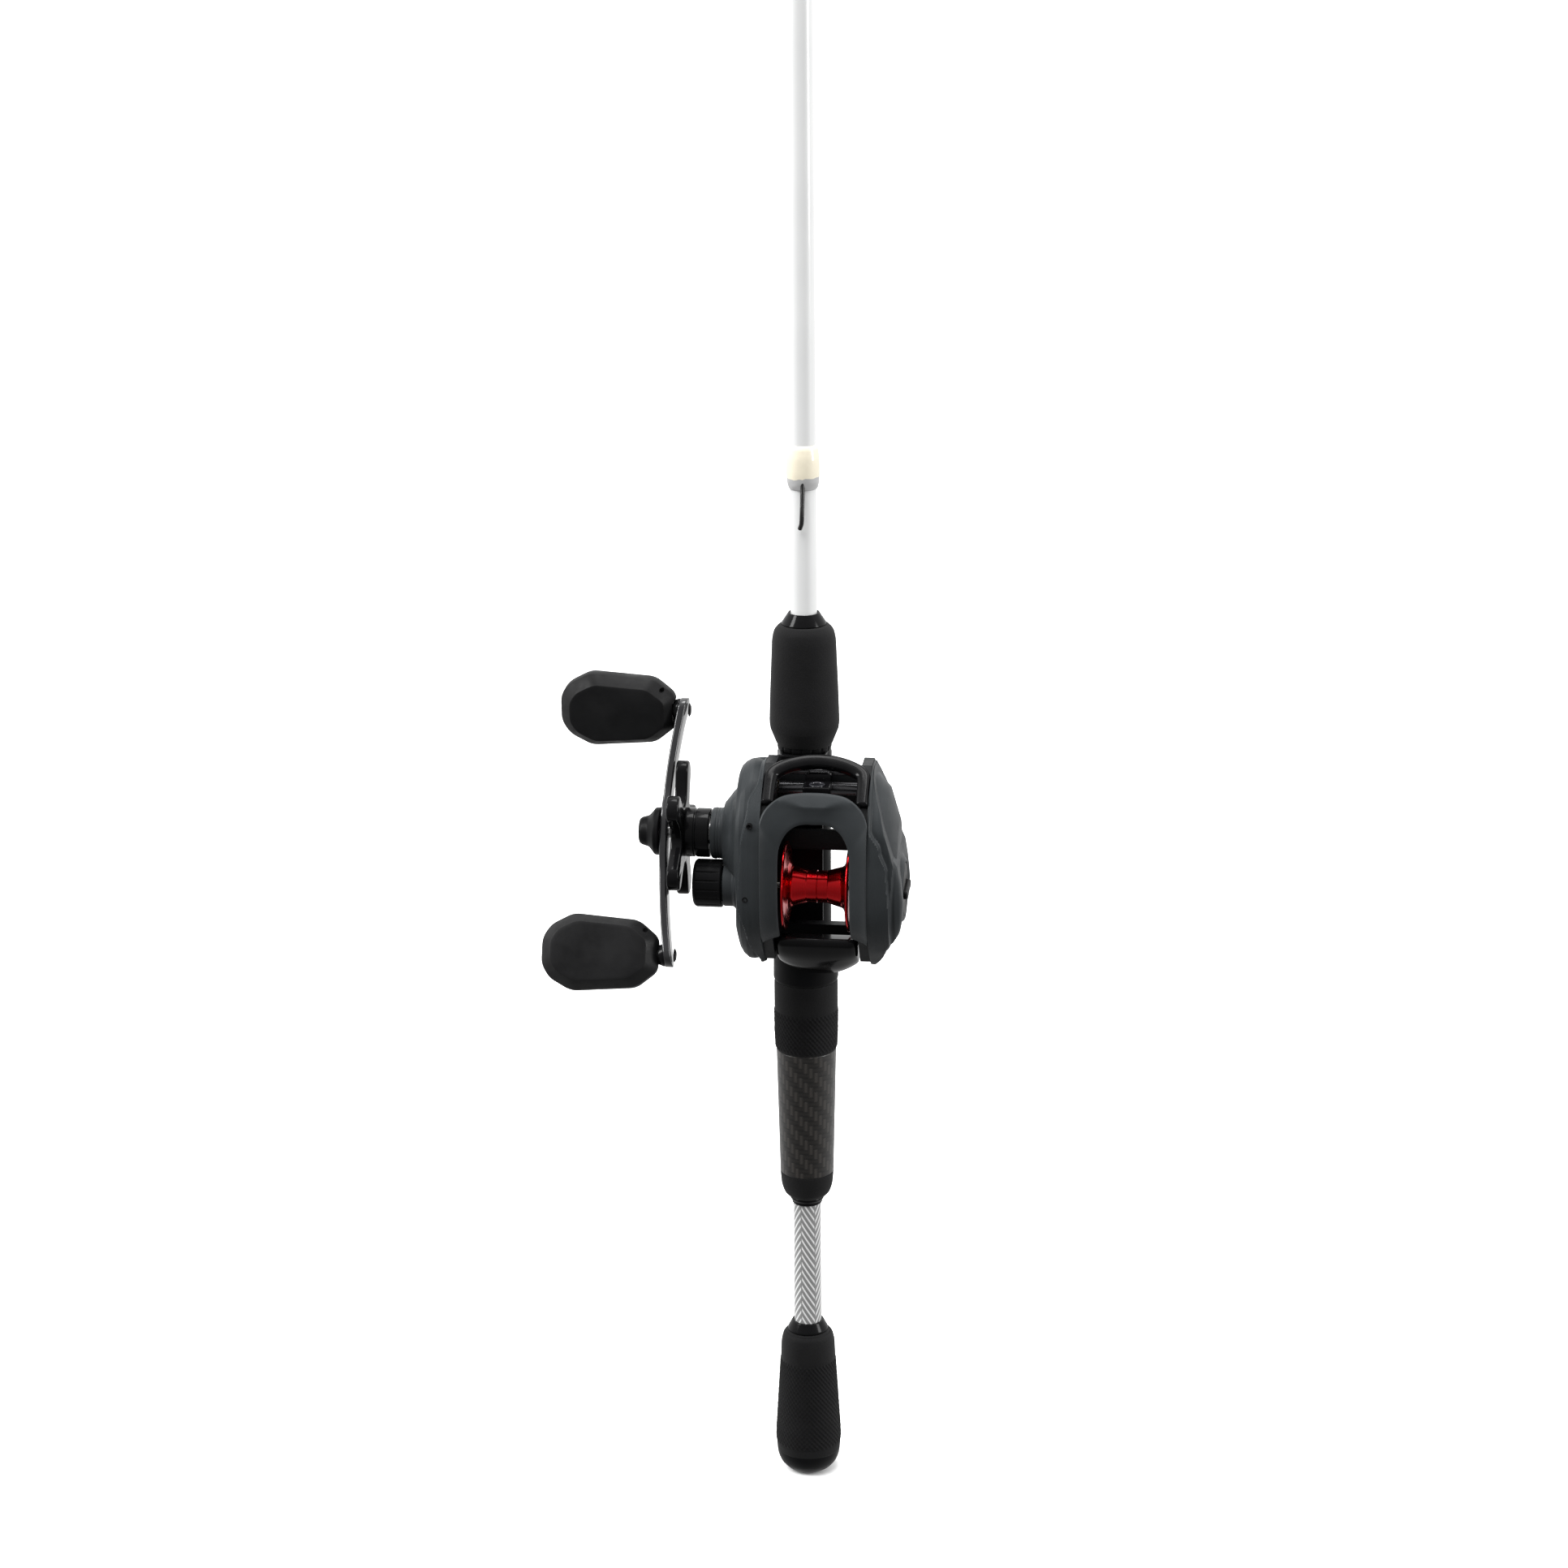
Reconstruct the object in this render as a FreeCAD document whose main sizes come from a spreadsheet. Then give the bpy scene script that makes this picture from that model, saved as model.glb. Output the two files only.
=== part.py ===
import FreeCAD, Part
import math
import os
import Sketcher
from FreeCAD import Rotation, Vector

# A baitcasting fishing rod with a low-profile reel.
# Row frame: +Z runs up the rod from the butt to the tip, the reel stands on the -Y side,
# and its handle is on the -X side.  The origin is the centre of the butt cap's flat end.
# Reel parts are drawn about the spool's centre and axis, which lies along X.

doc = FreeCAD.newDocument("rod_and_reel")

# ---------------------------------------------------------------- driving dimensions (mm)
SHEET = {
    # rod, heights above the butt
    "rod_length": 1981, "blank_bottom": 10, "blank_butt_radius": 5.45, "blank_waist_radius": 5.08,
    "blank_mid_radius": 4.55, "blank_tip_radius": 0.95, "blank_wall": 1.3, "waist_height": 357,
    "mid_height": 588, "cap_height": 9, "butt_grip_top": 61.5, "butt_grip_radius": 13.1,
    "grip_end_bottom": 120, "carbon_bottom": 131, "carbon_top": 183, "seat_grip_top": 212,
    "carbon_radius_low": 10.65, "carbon_radius_high": 11.85, "seat_grip_radius": 12.5,
    "grip_bore": 5.5, "seat_radius": 10.0, "seat_flat": 8.5, "barrel_radius": 8.0,
    "hood_back": 230, "hood_front": 292, "nut_bottom": 306.2, "foregrip_bottom": 308.3,
    "foregrip_top": 355.5, "foregrip_radius": 13.5, "wrap_bottom": 408, "wrap_top": 425,
    # reel, about the spool's centre
    "reel_shift": 8.4, "spool_height": 30, "spool_level": 260.5, "spool_half": 12.9,
    "flange_radius": 17, "arbor_radius": 8, "arbor_waist": 6, "shaft_radius": 1.25,
    "wall_outer": 20, "wall_inner": 16, "frame_bottom": 18, "frame_front": 48, "frame_top": 20,
    "frame_back": 28, "plate_bottom": 25, "plate_front": 48.5, "plate_top": 22.4, "plate_back": 31,
    "handle_plate_end": 29.4, "palm_plate_end": 35.5, "drive_down": 5, "worm_down": 8,
    "spool_module": 0.44, "wind_module": 0.6, "crank_radius": 47.8, "crank_lean": 30,
    "knob_length": 45, "knob_width": 27.4, "knob_thickness": 14, "star_radius": 26,
}
sheet = doc.addObject("Spreadsheet::Sheet", "sizes")
for row, alias in enumerate(SHEET, start=1):
    sheet.set("A%d" % row, alias)
    sheet.set("B%d" % row, str(SHEET[alias]))
    sheet.setAlias("B%d" % row, alias)
doc.recompute()

SPOOL_TEETH = (75, 12)      # drive gear and pinion
WIND_TEETH = (38, 23)       # level-wind drive gear and worm gear
RUNNING_GAP = 0.06          # radial clearance of a shaft in its bearing
FREE_GAP = 0.3              # clearance between parts that pass each other


class Size:
    """A length that knows its value and the sheet expression that drives it."""

    def __init__(self, value, text):
        self.value = value
        self.text = text

    def __add__(self, other):
        other = as_size(other)
        return Size(self.value + other.value, "(%s + %s)" % (self.text, other.text))

    def __sub__(self, other):
        other = as_size(other)
        return Size(self.value - other.value, "(%s - %s)" % (self.text, other.text))

    def __mul__(self, factor):
        return Size(self.value * factor, "(%s * %.6g)" % (self.text, factor))

    def __neg__(self):
        return self * -1

    __radd__ = __add__
    __rmul__ = __mul__


def as_size(length):
    if isinstance(length, Size):
        return length
    return Size(float(length), "%.6f" % length)


def size(alias):
    return Size(float(getattr(sheet, alias)), "sizes." + alias)


def bind(thing, name, length):
    """Drive one property from the sheet."""
    thing.setExpression(name, as_size(length).text)


# ---------------------------------------------------------------- placing and drawing helpers
TURN = {"X": Rotation(Vector(0, 1, 0), 90), "Y": Rotation(Vector(1, 0, 0), -90), "Z": Rotation()}
PLANE_OF = {"X": "YZ_Plane", "Y": "XZ_Plane", "Z": "XY_Plane"}
ROD = (0, 0, 0)
REEL = (size("reel_shift"), -size("spool_height"), size("spool_level"))
made = [0]
nodes = []


def fresh(kind):
    """Add a helper object with a name of its own."""
    made[0] += 1
    return doc.addObject(kind, "shape_%03d" % made[0])


def place(thing, spot, rotation=None):
    thing.Placement = FreeCAD.Placement(Vector(), rotation or Rotation())
    for letter, length in zip("xyz", spot):
        bind(thing, "Placement.Base." + letter, length)
    return thing


def shift(spot, x=0, y=0, z=0):
    """A place measured from another place."""
    return (as_size(spot[0]) + x, as_size(spot[1]) + y, as_size(spot[2]) + z)


def node(label, thing):
    """Name a finished sub-part."""
    thing.Label = label
    nodes.append(thing)
    return thing


def add_arc(sketch, start, through, stop):
    """Add an arc and say which of its ends, 1 or 2, is the start and which the stop."""
    whole = Part.Arc(start, through, stop).toShape().Curve
    circle = Part.Circle(whole.Center, Vector(0, 0, 1), whole.Radius)
    angles = [math.atan2(point.y - whole.Center.y, point.x - whole.Center.x) for point in (start, stop)]
    if (through - start).cross(stop - through).z > 0:
        sketch.addGeometry(Part.ArcOfCircle(circle, angles[0], angles[1]))
        return 1, 2
    sketch.addGeometry(Part.ArcOfCircle(circle, angles[1], angles[0]))
    return 2, 1


def draw(sketch, outline):
    """Draw a closed outline.  A point is (a, b), or (a, b, (c, d)) for an arc to it through (c, d)."""
    count = len(outline)
    ends = []
    for index, point in enumerate(outline):
        before = outline[index - 1]
        start = Vector(as_size(before[0]).value, as_size(before[1]).value, 0)
        stop = Vector(as_size(point[0]).value, as_size(point[1]).value, 0)
        if len(point) == 3:
            through = Vector(as_size(point[2][0]).value, as_size(point[2][1]).value, 0)
            ends.append(add_arc(sketch, start, through, stop))
        else:
            sketch.addGeometry(Part.LineSegment(start, stop))
            ends.append((1, 2))
    for index in range(count):
        after = (index + 1) % count
        sketch.addConstraint(Sketcher.Constraint("Coincident", index, ends[index][1], after, ends[after][0]))
    for index, point in enumerate(outline):
        for kind, axis, length in (("DistanceX", -2, point[0]), ("DistanceY", -1, point[1])):
            length = as_size(length)
            if abs(length.value) < 1e-9:
                sketch.addConstraint(Sketcher.Constraint("PointOnObject", index, ends[index][1], axis))
                continue
            rule = Sketcher.Constraint(kind, -1, 1, index, ends[index][1], length.value)
            number = sketch.addConstraint(rule)
            sketch.setExpression("Constraints[%d]" % number, length.text)


def body_sketch(body, axis, outline):
    sketch = body.newObject("Sketcher::SketchObject", body.Name + "_sketch")
    plane = [item for item in body.Origin.OriginFeatures if item.Role == PLANE_OF[axis]][0]
    sketch.AttachmentSupport = (plane, [""])
    sketch.MapMode = "FlatFace"
    draw(sketch, outline)
    return sketch


def turned(outline, axis="X", spot=REEL):
    """A lathe part.  Points are (along X, radius) about X, or (radius, along Z) about Z."""
    body = fresh("PartDesign::Body")
    sketch = body_sketch(body, "Y", outline)
    spin = body.newObject("PartDesign::Revolution", body.Name + "_spin")
    spin.Profile = sketch
    spin.ReferenceAxis = (sketch, ["H_Axis" if axis == "X" else "V_Axis"])
    spin.Angle = 360
    return place(body, spot)


def slab(outline, low, high, spot=REEL, axis="X", rotation=None):
    """A flat part: an outline drawn across the axis and padded from low to high along it."""
    body = fresh("PartDesign::Body")
    sketch = body_sketch(body, axis, outline)
    pad = body.newObject("PartDesign::Pad", body.Name + "_pad")
    pad.Profile = sketch
    bind(pad, "Length", as_size(high) - low)
    rotation = rotation or Rotation()
    normal = {"X": Vector(1, 0, 0), "Y": Vector(0, -1, 0), "Z": Vector(0, 0, 1)}[axis]
    start = rotation.multVec(normal)
    return place(body, shift(spot, as_size(low) * start.x, as_size(low) * start.y, as_size(low) * start.z),
                 rotation)


def box(x, y, z, spot=REEL):
    """A box between low and high on each axis."""
    block = fresh("Part::Box")
    for name, (low, high) in zip(("Length", "Width", "Height"), (x, y, z)):
        bind(block, name, as_size(high) - low)
    return place(block, shift(spot, x[0], y[0], z[0]))


def bar(radius, low, high, spot=REEL, axis="X", y=0, z=0, x=0):
    """A round bar along an axis, from low to high."""
    rod = fresh("Part::Cylinder")
    bind(rod, "Radius", radius)
    bind(rod, "Height", as_size(high) - low)
    along = {"X": (low, 0, 0), "Y": (0, low, 0), "Z": (0, 0, low)}[axis]
    centre = shift(spot, x, y, z)
    return place(rod, shift(centre, *along), TURN[axis])


def tube(outer, inner, low, high, spot=REEL, y=0, z=0):
    """A ring or bush about an axis along X."""
    return place(turned([(low, inner), (high, inner), (high, outer), (low, outer)]), shift(spot, 0, y, z))


def cut(base, *tools):
    result = base
    for tool in tools:
        step = fresh("Part::Cut")
        step.Base = result
        step.Tool = tool
        result = step
    return result


def fuse(*pieces):
    result = fresh("Part::MultiFuse")
    result.Shapes = list(pieces)
    result.Refine = True
    return result


def common(first, second):
    result = fresh("Part::Common")
    result.Base = first
    result.Tool = second
    return result


def group(*pieces):
    """Separate solids that share one node."""
    result = fresh("Part::Compound")
    result.Links = list(pieces)
    return result


def scaled(outline, factor):
    return [(as_size(a) * factor, as_size(b) * factor) for a, b in outline]


def lofted(outline, stations):
    """A closed body through an outline scaled at each (place along X, factor)."""
    sections = []
    for along, factor in stations:
        sketch = fresh("Sketcher::SketchObject")
        place(sketch, shift(REEL, along), Rotation(Vector(1, 1, 1), 120))
        draw(sketch, scaled(outline, factor))
        sections.append(sketch)
    skin = fresh("Part::Loft")
    skin.Sections = sections
    skin.Solid = True
    skin.Ruled = True
    return skin


# ---------------------------------------------------------------- rod, from the butt up
def make_rod():
    bore = size("grip_bore")
    butt = size("blank_butt_radius")
    wall = size("blank_wall")
    waist = size("blank_waist_radius")
    middle = size("blank_mid_radius")
    tip = size("blank_tip_radius")
    bottom = size("blank_bottom")
    top = size("rod_length") - 6
    node("rod_blank", turned([
        (butt - wall, bottom), (butt, bottom), (butt, size("seat_grip_top")),
        (waist, size("waist_height")), (middle, size("mid_height")), (tip, top),
        (tip * 0.4, top), (middle - wall, size("mid_height"))], "Z", ROD))
    cap = size("cap_height")
    grip = size("butt_grip_radius")
    node("butt_cap", turned([
        (0, 0), (grip * 0.55, 0), (grip * 0.97, cap * 0.72, (grip * 0.86, cap * 0.26)),
        (grip * 0.975, cap), (0, cap)], "Z", ROD))
    grip_top = size("butt_grip_top")
    node("butt_grip", turned([
        (bore, cap), (grip * 0.97, cap), (grip, cap + 6), (grip * 0.86, grip_top - 12),
        (grip * 0.83, grip_top - 5), (grip * 0.62, grip_top, (grip * 0.78, grip_top - 1.4)),
        (bore, grip_top)], "Z", ROD))
    node("butt_winding_check", turned([
        (bore, grip_top), (grip * 0.6, grip_top), (grip * 0.52, grip_top + 2.6),
        (bore + 0.7, grip_top + 4), (bore, grip_top + 4)], "Z", ROD))
    end = size("grip_end_bottom")
    low = size("carbon_bottom")
    high = size("carbon_top")
    thin = size("carbon_radius_low")
    wide = size("carbon_radius_high")
    node("rear_winding_check", turned([
        (bore, end - 3), (bore + 0.5, end - 3), (bore + 1.1, end), (bore, end)], "Z", ROD))
    node("rear_grip_end", turned([
        (bore, end), (bore + 1.6, end), (thin * 0.99, end + 8, (thin * 0.86, end + 3.4)),
        (thin, low), (bore, low)], "Z", ROD))
    skin = 1.2
    node("carbon_sleeve", turned([
        (thin - skin, low), (thin, low), (wide, high), (wide - skin, high)], "Z", ROD))
    node("sleeve_arbor", turned([
        (bore, low), (thin - skin, low), (wide - skin, high), (bore, high)], "Z", ROD))
    top_of_grip = size("seat_grip_top")
    seat = size("seat_grip_radius")
    node("seat_grip", turned([
        (bore, high), (wide + 0.1, high), (wide + 0.5, high + 2), (seat, high + 20),
        (seat, top_of_grip), (bore, top_of_grip)], "Z", ROD))


# ---------------------------------------------------------------- reel seat and its lock
FOOT_LOW = -37
FOOT_HIGH = 37.5
FOOT_HALF = 8.0
FOOT_TOP = 11.0


def make_seat():
    bore = size("grip_bore")
    low = size("seat_grip_top")
    back = size("hood_back")
    front = size("hood_front")
    collar = size("seat_grip_radius")
    barrel = size("barrel_radius")
    flat = size("seat_flat")
    seat = size("seat_radius")
    spun = turned([
        (bore, low), (collar, low), (collar + 0.4, low + 3), (collar, back - 4),
        (collar - 1.6, back, (collar - 0.4, back - 1.2)), (seat, back), (seat, front),
        (barrel, front), (barrel, front + 46), (bore, front + 46)], "Z", ROD)
    flat_cut = box((-14, 14), (-20, -flat), (back, front), ROD)
    slot = box((-FOOT_HALF - 0.4, FOOT_HALF + 0.4), (-FOOT_TOP - 0.3, -flat), (back - 8, back + 1), ROD)
    hook = slab([
        (6, back + 8), (12, back + 5), (20, back + 1), (27, back - 6), (28.5, back - 10, (29, back - 8.5)),
        (26, back - 11.5, (27.8, back - 11.4)), (18, back - 8, (21.5, back - 11)), (6, back - 10)],
        -4, 4, ROD)
    hook_bore = bar(bore, back - 20, back + 20, ROD, "Z")
    node("reel_seat", fuse(cut(spun, flat_cut, slot), cut(hook, hook_bore)))

    lock = size("nut_bottom")
    ring = bar(barrel + 2.5, front, lock, ROD, "Z")
    lobe = slab([
        (-9.4, -3), (-9.4, -10.6), (-7.4, -12.2, (-8.9, -11.8)), (7.4, -12.2),
        (9.4, -10.6, (8.9, -11.8)), (9.4, -3)], front, lock - 1.2, ROD, "Z")
    hood_bore = bar(barrel + FREE_GAP, front - 1, lock + 1, ROD, "Z")
    mouth = box((-FOOT_HALF - 0.5, FOOT_HALF + 0.5), (-FOOT_TOP - 0.4, -flat + 0.1), (front - 1, front + 8),
                ROD)
    node("moving_hood", cut(fuse(ring, lobe), hood_bore, mouth))
    grip_low = size("foregrip_bottom")
    core = barrel + 2.5
    node("locking_nut", turned([
        (barrel + FREE_GAP, lock), (core, lock), (core, grip_low + 32), (barrel + FREE_GAP, grip_low + 32)],
        "Z", ROD))
    top = size("foregrip_top")
    fore = size("foregrip_radius")
    free = bore + 0.2
    node("foregrip", turned([
        (core, grip_low), (core + 0.5, grip_low), (fore * 0.985, grip_low + 3.4, (fore * 0.93, grip_low + 1)),
        (fore, grip_low + 6), (fore * 0.96, grip_low + 18), (fore * 0.9, top - 6),
        (fore * 0.66, top, (fore * 0.84, top - 1.6)), (free, top), (free, grip_low + 32),
        (core, grip_low + 32)], "Z", ROD))
    node("foregrip_check", turned([
        (free, top), (fore * 0.64, top), (fore * 0.52, top + 3.6), (free + 0.3, top + 4.6), (free, top + 4.6)],
        "Z", ROD))


# ---------------------------------------------------------------- hook keeper and guides
def wire(points, radius):
    """A bent wire through points, with a ball at each bend."""
    pieces = []
    for start, stop in zip(points, points[1:]):
        start = Vector(*start)
        along = Vector(*stop) - start
        pieces.append(Part.makeCylinder(radius, along.Length, start, along))
    for point in points[1:-1]:
        pieces.append(Part.makeSphere(radius, Vector(*point)))
    joined = pieces[0]
    for piece in pieces[1:]:
        joined = joined.fuse(piece)
    feature = fresh("Part::Feature")
    feature.Shape = joined.removeSplitter()
    return feature


def blank_radius(height):
    """The blank's outer radius at a height above the waist."""
    waist, middle = size("waist_height").value, size("mid_height").value
    top = size("rod_length").value - 6
    if height < middle:
        share = (height - waist) / (middle - waist)
        low, high = size("blank_waist_radius").value, size("blank_mid_radius").value
    else:
        share = (height - middle) / (top - middle)
        low, high = size("blank_mid_radius").value, size("blank_tip_radius").value
    return low + (high - low) * share


def make_keeper():
    low = size("wrap_bottom")
    high = size("wrap_top")
    lower = low.value
    skin = blank_radius(lower)
    wire_radius = 0.75
    line = skin + 0.1 + wire_radius
    node("hook_keeper", wire([
        (0.4, -line, lower + 12), (0.4, -line, lower + 1), (0.6, -line - 1.8, lower - 5),
        (0.4, -line - 2.6, lower - 11), (-1.0, -line - 0.6, lower - 14.5)], wire_radius))
    body = turned([
        (skin + 0.02, low), (skin + 1.2, low), (skin + 2.0, low + 4, (skin + 1.8, low + 1.6)),
        (skin + 2.0, high - 4), (skin + 0.6, high, (skin + 1.7, high - 1.4)), (skin + 0.02, high)],
        "Z", ROD)
    groove = bar(wire_radius + 0.02, low - 1, low + 12.02, ROD, "Z", x=0.4, y=-line)
    node("keeper_wrap", cut(body, groove))


GUIDE_COUNT = 8
DOUBLE_FEET = 3             # the guides nearest the reel stand on two feet


def guide_spacing():
    """Heights of the guides: the gaps shrink evenly towards the tip."""
    first, last = 735.0, 1885.0
    steps = [1.0 - 0.075 * index for index in range(GUIDE_COUNT - 1)]
    heights = [first]
    for step in steps:
        heights.append(heights[-1] + step * (last - first) / sum(steps))
    return heights


def guide_sizes(index):
    """Ring bore radius and the ring centre's height above the blank."""
    bore = max(2.3, 5.4 - 0.75 * index)
    stand = max(5.0, 13.5 - 1.9 * index)
    return bore, stand


def make_guides():
    doubles, singles, inserts, wraps = [], [], [], []
    for index, height in enumerate(guide_spacing()):
        bore, stand = guide_sizes(index)
        skin = blank_radius(height - 30)
        centre = -(skin + stand)
        ring = Part.makeTorus(bore + 1.1, 0.75, Vector(0, centre, height), Vector(0, 0, 1))
        insert = Part.makeCylinder(bore + 0.42, 1.6, Vector(0, centre, height - 0.8))
        ring = ring.cut(insert)
        hole = Part.makeCylinder(bore, 1.6, Vector(0, centre, height - 0.8))
        inserts.append(insert.cut(hole))
        leg = 0.7
        reach = 0.9 * stand + 3
        sides = (-1, 1) if index < DOUBLE_FEET else (1,)
        foot_line = -(skin + leg + 0.05)
        frame = ring
        for side in sides:
            bend = height + side * reach
            for spread in (-1, 1):
                start = Vector(spread * (bore + 1.0), centre + 0.2 * bore, height)
                stop = Vector(spread * 0.7, foot_line, bend)
                along = stop - start
                frame = frame.fuse(Part.makeCylinder(leg, along.Length, start, along))
                frame = frame.fuse(Part.makeSphere(leg * 1.13, stop))
            foot_length = 9 + 0.4 * stand
            low = min(bend, bend + side * foot_length)
            foot = Part.makeBox(2.0, 2 * leg, foot_length, Vector(-1.0, foot_line - leg, low))
            frame = frame.fuse(foot)
            wrap_low = low - 2 if side < 0 else low + 1
            outer = Part.makeCylinder(skin + 2 * leg + 0.75, foot_length + 1, Vector(0, 0, wrap_low))
            inner = Part.makeCylinder(skin + 0.06, foot_length + 3, Vector(0, 0, wrap_low - 1))
            wraps.append(outer.cut(inner).cut(frame))
        frame = frame.cut(insert)
        (doubles if index < DOUBLE_FEET else singles).append(frame)
    add_tip(singles, inserts)
    for label, shapes in (("double_foot_guides", doubles), ("single_foot_guides", singles[:-1]),
                          ("guide_inserts", inserts), ("guide_wraps", wraps), ("tip_top", singles[-1:])):
        feature = doc.addObject("Part::Feature", label)
        feature.Shape = Part.makeCompound(shapes) if len(shapes) > 1 else shapes[0]
        feature.Placement = FreeCAD.Placement()
        node(label, feature)


def add_tip(frames, inserts):
    """The tip-top: a tube over the blank's end that carries the last ring."""
    top = size("rod_length").value
    radius = blank_radius(top - 14)
    bore = 2.3
    centre = Vector(0, -(radius + 2.6), top - bore - 1.9)
    sleeve = Part.makeCylinder(radius + 0.5, 12, Vector(0, 0, top - 17))
    sleeve = sleeve.cut(Part.makeCylinder(radius + 0.03, 14, Vector(0, 0, top - 20)))
    lean = Vector(0, -0.35, 1).normalize()
    ring = Part.makeTorus(bore + 1.1, 0.75, centre, lean)
    insert = Part.makeCylinder(bore + 0.42, 1.6, centre - lean * 0.8, lean)
    hole = Part.makeCylinder(bore, 1.6, centre - lean * 0.8, lean)
    frame = sleeve
    for spread in (-1, 1):
        start = Vector(spread * 0.5, -(radius + 0.3), top - 15)
        along = Vector(spread * (bore + 1.0), centre.y, centre.z) - start
        frame = frame.fuse(Part.makeCylinder(0.6, along.Length, start, along))
    core = Part.makeCylinder(radius + 0.03, 14, Vector(0, 0, top - 20))
    frame = frame.fuse(ring).cut(core).cut(insert)
    frames.append(frame)
    inserts.append(insert.cut(hole))


# ---------------------------------------------------------------- reel axes
DRIVE_DOWN = size("drive_down")
DRIVE_AHEAD = Size(
    math.sqrt((size("spool_module").value * sum(SPOOL_TEETH) / 2) ** 2 - DRIVE_DOWN.value ** 2),
    "sqrt((sizes.spool_module * %d / 2) ^ 2 - sizes.drive_down ^ 2)" % sum(SPOOL_TEETH))
WORM_RISE = size("worm_down") - DRIVE_DOWN
WORM_AHEAD = DRIVE_AHEAD + Size(
    math.sqrt((size("wind_module").value * sum(WIND_TEETH) / 2) ** 2 - WORM_RISE.value ** 2),
    "sqrt((sizes.wind_module * %d / 2) ^ 2 - (sizes.worm_down - sizes.drive_down) ^ 2)" % sum(WIND_TEETH))
DRIVE = shift(REEL, 0, DRIVE_DOWN, DRIVE_AHEAD)
WORM = shift(REEL, 0, size("worm_down"), WORM_AHEAD)
RAIL_DOWN = size("worm_down")
RAIL = shift(REEL, 0, RAIL_DOWN, WORM_AHEAD + 6.6)


def frame_outline():
    low, front = size("frame_bottom"), size("frame_front")
    top, back = size("frame_top"), size("frame_back")
    return [(low, -back), (low, front * 0.92), (low * 0.67, front), (low * 0.1, front),
            (-top * 0.4, front * 0.855), (-top * 0.85, front * 0.62), (-top, front * 0.21),
            (-top, -back * 0.14), (-top * 0.7, -back * 0.57), (-top * 0.25, -back)]


def plate_outline():
    low, front = size("plate_bottom"), size("plate_front")
    top, back = size("plate_top"), size("plate_back")
    return [(low * 0.64, -back), (low, -back * 0.1), (low, front * 0.7), (low * 0.68, front * 0.95),
            (low * 0.16, front), (-top * 0.41, front * 0.866), (-top * 0.86, front * 0.62),
            (-top, front * 0.165), (-top * 0.955, -back * 0.26), (-top * 0.64, -back * 0.645),
            (-top * 0.09, -back)]


SCREW_SPOTS = ((14.5, -24.0), (-15.0, 26.0), (2.5, 45.5))


def screws(low, high, head_low, head_high, radius=1.1):
    """Three screws along X through the rim, each a shank and a head."""
    made_screws = []
    for y, z in SCREW_SPOTS:
        shank = bar(radius, low, high, y=y, z=z)
        head = bar(radius + 0.9, head_low, head_high, y=y, z=z)
        made_screws.append(fuse(shank, head))
    return group(*made_screws)


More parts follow.
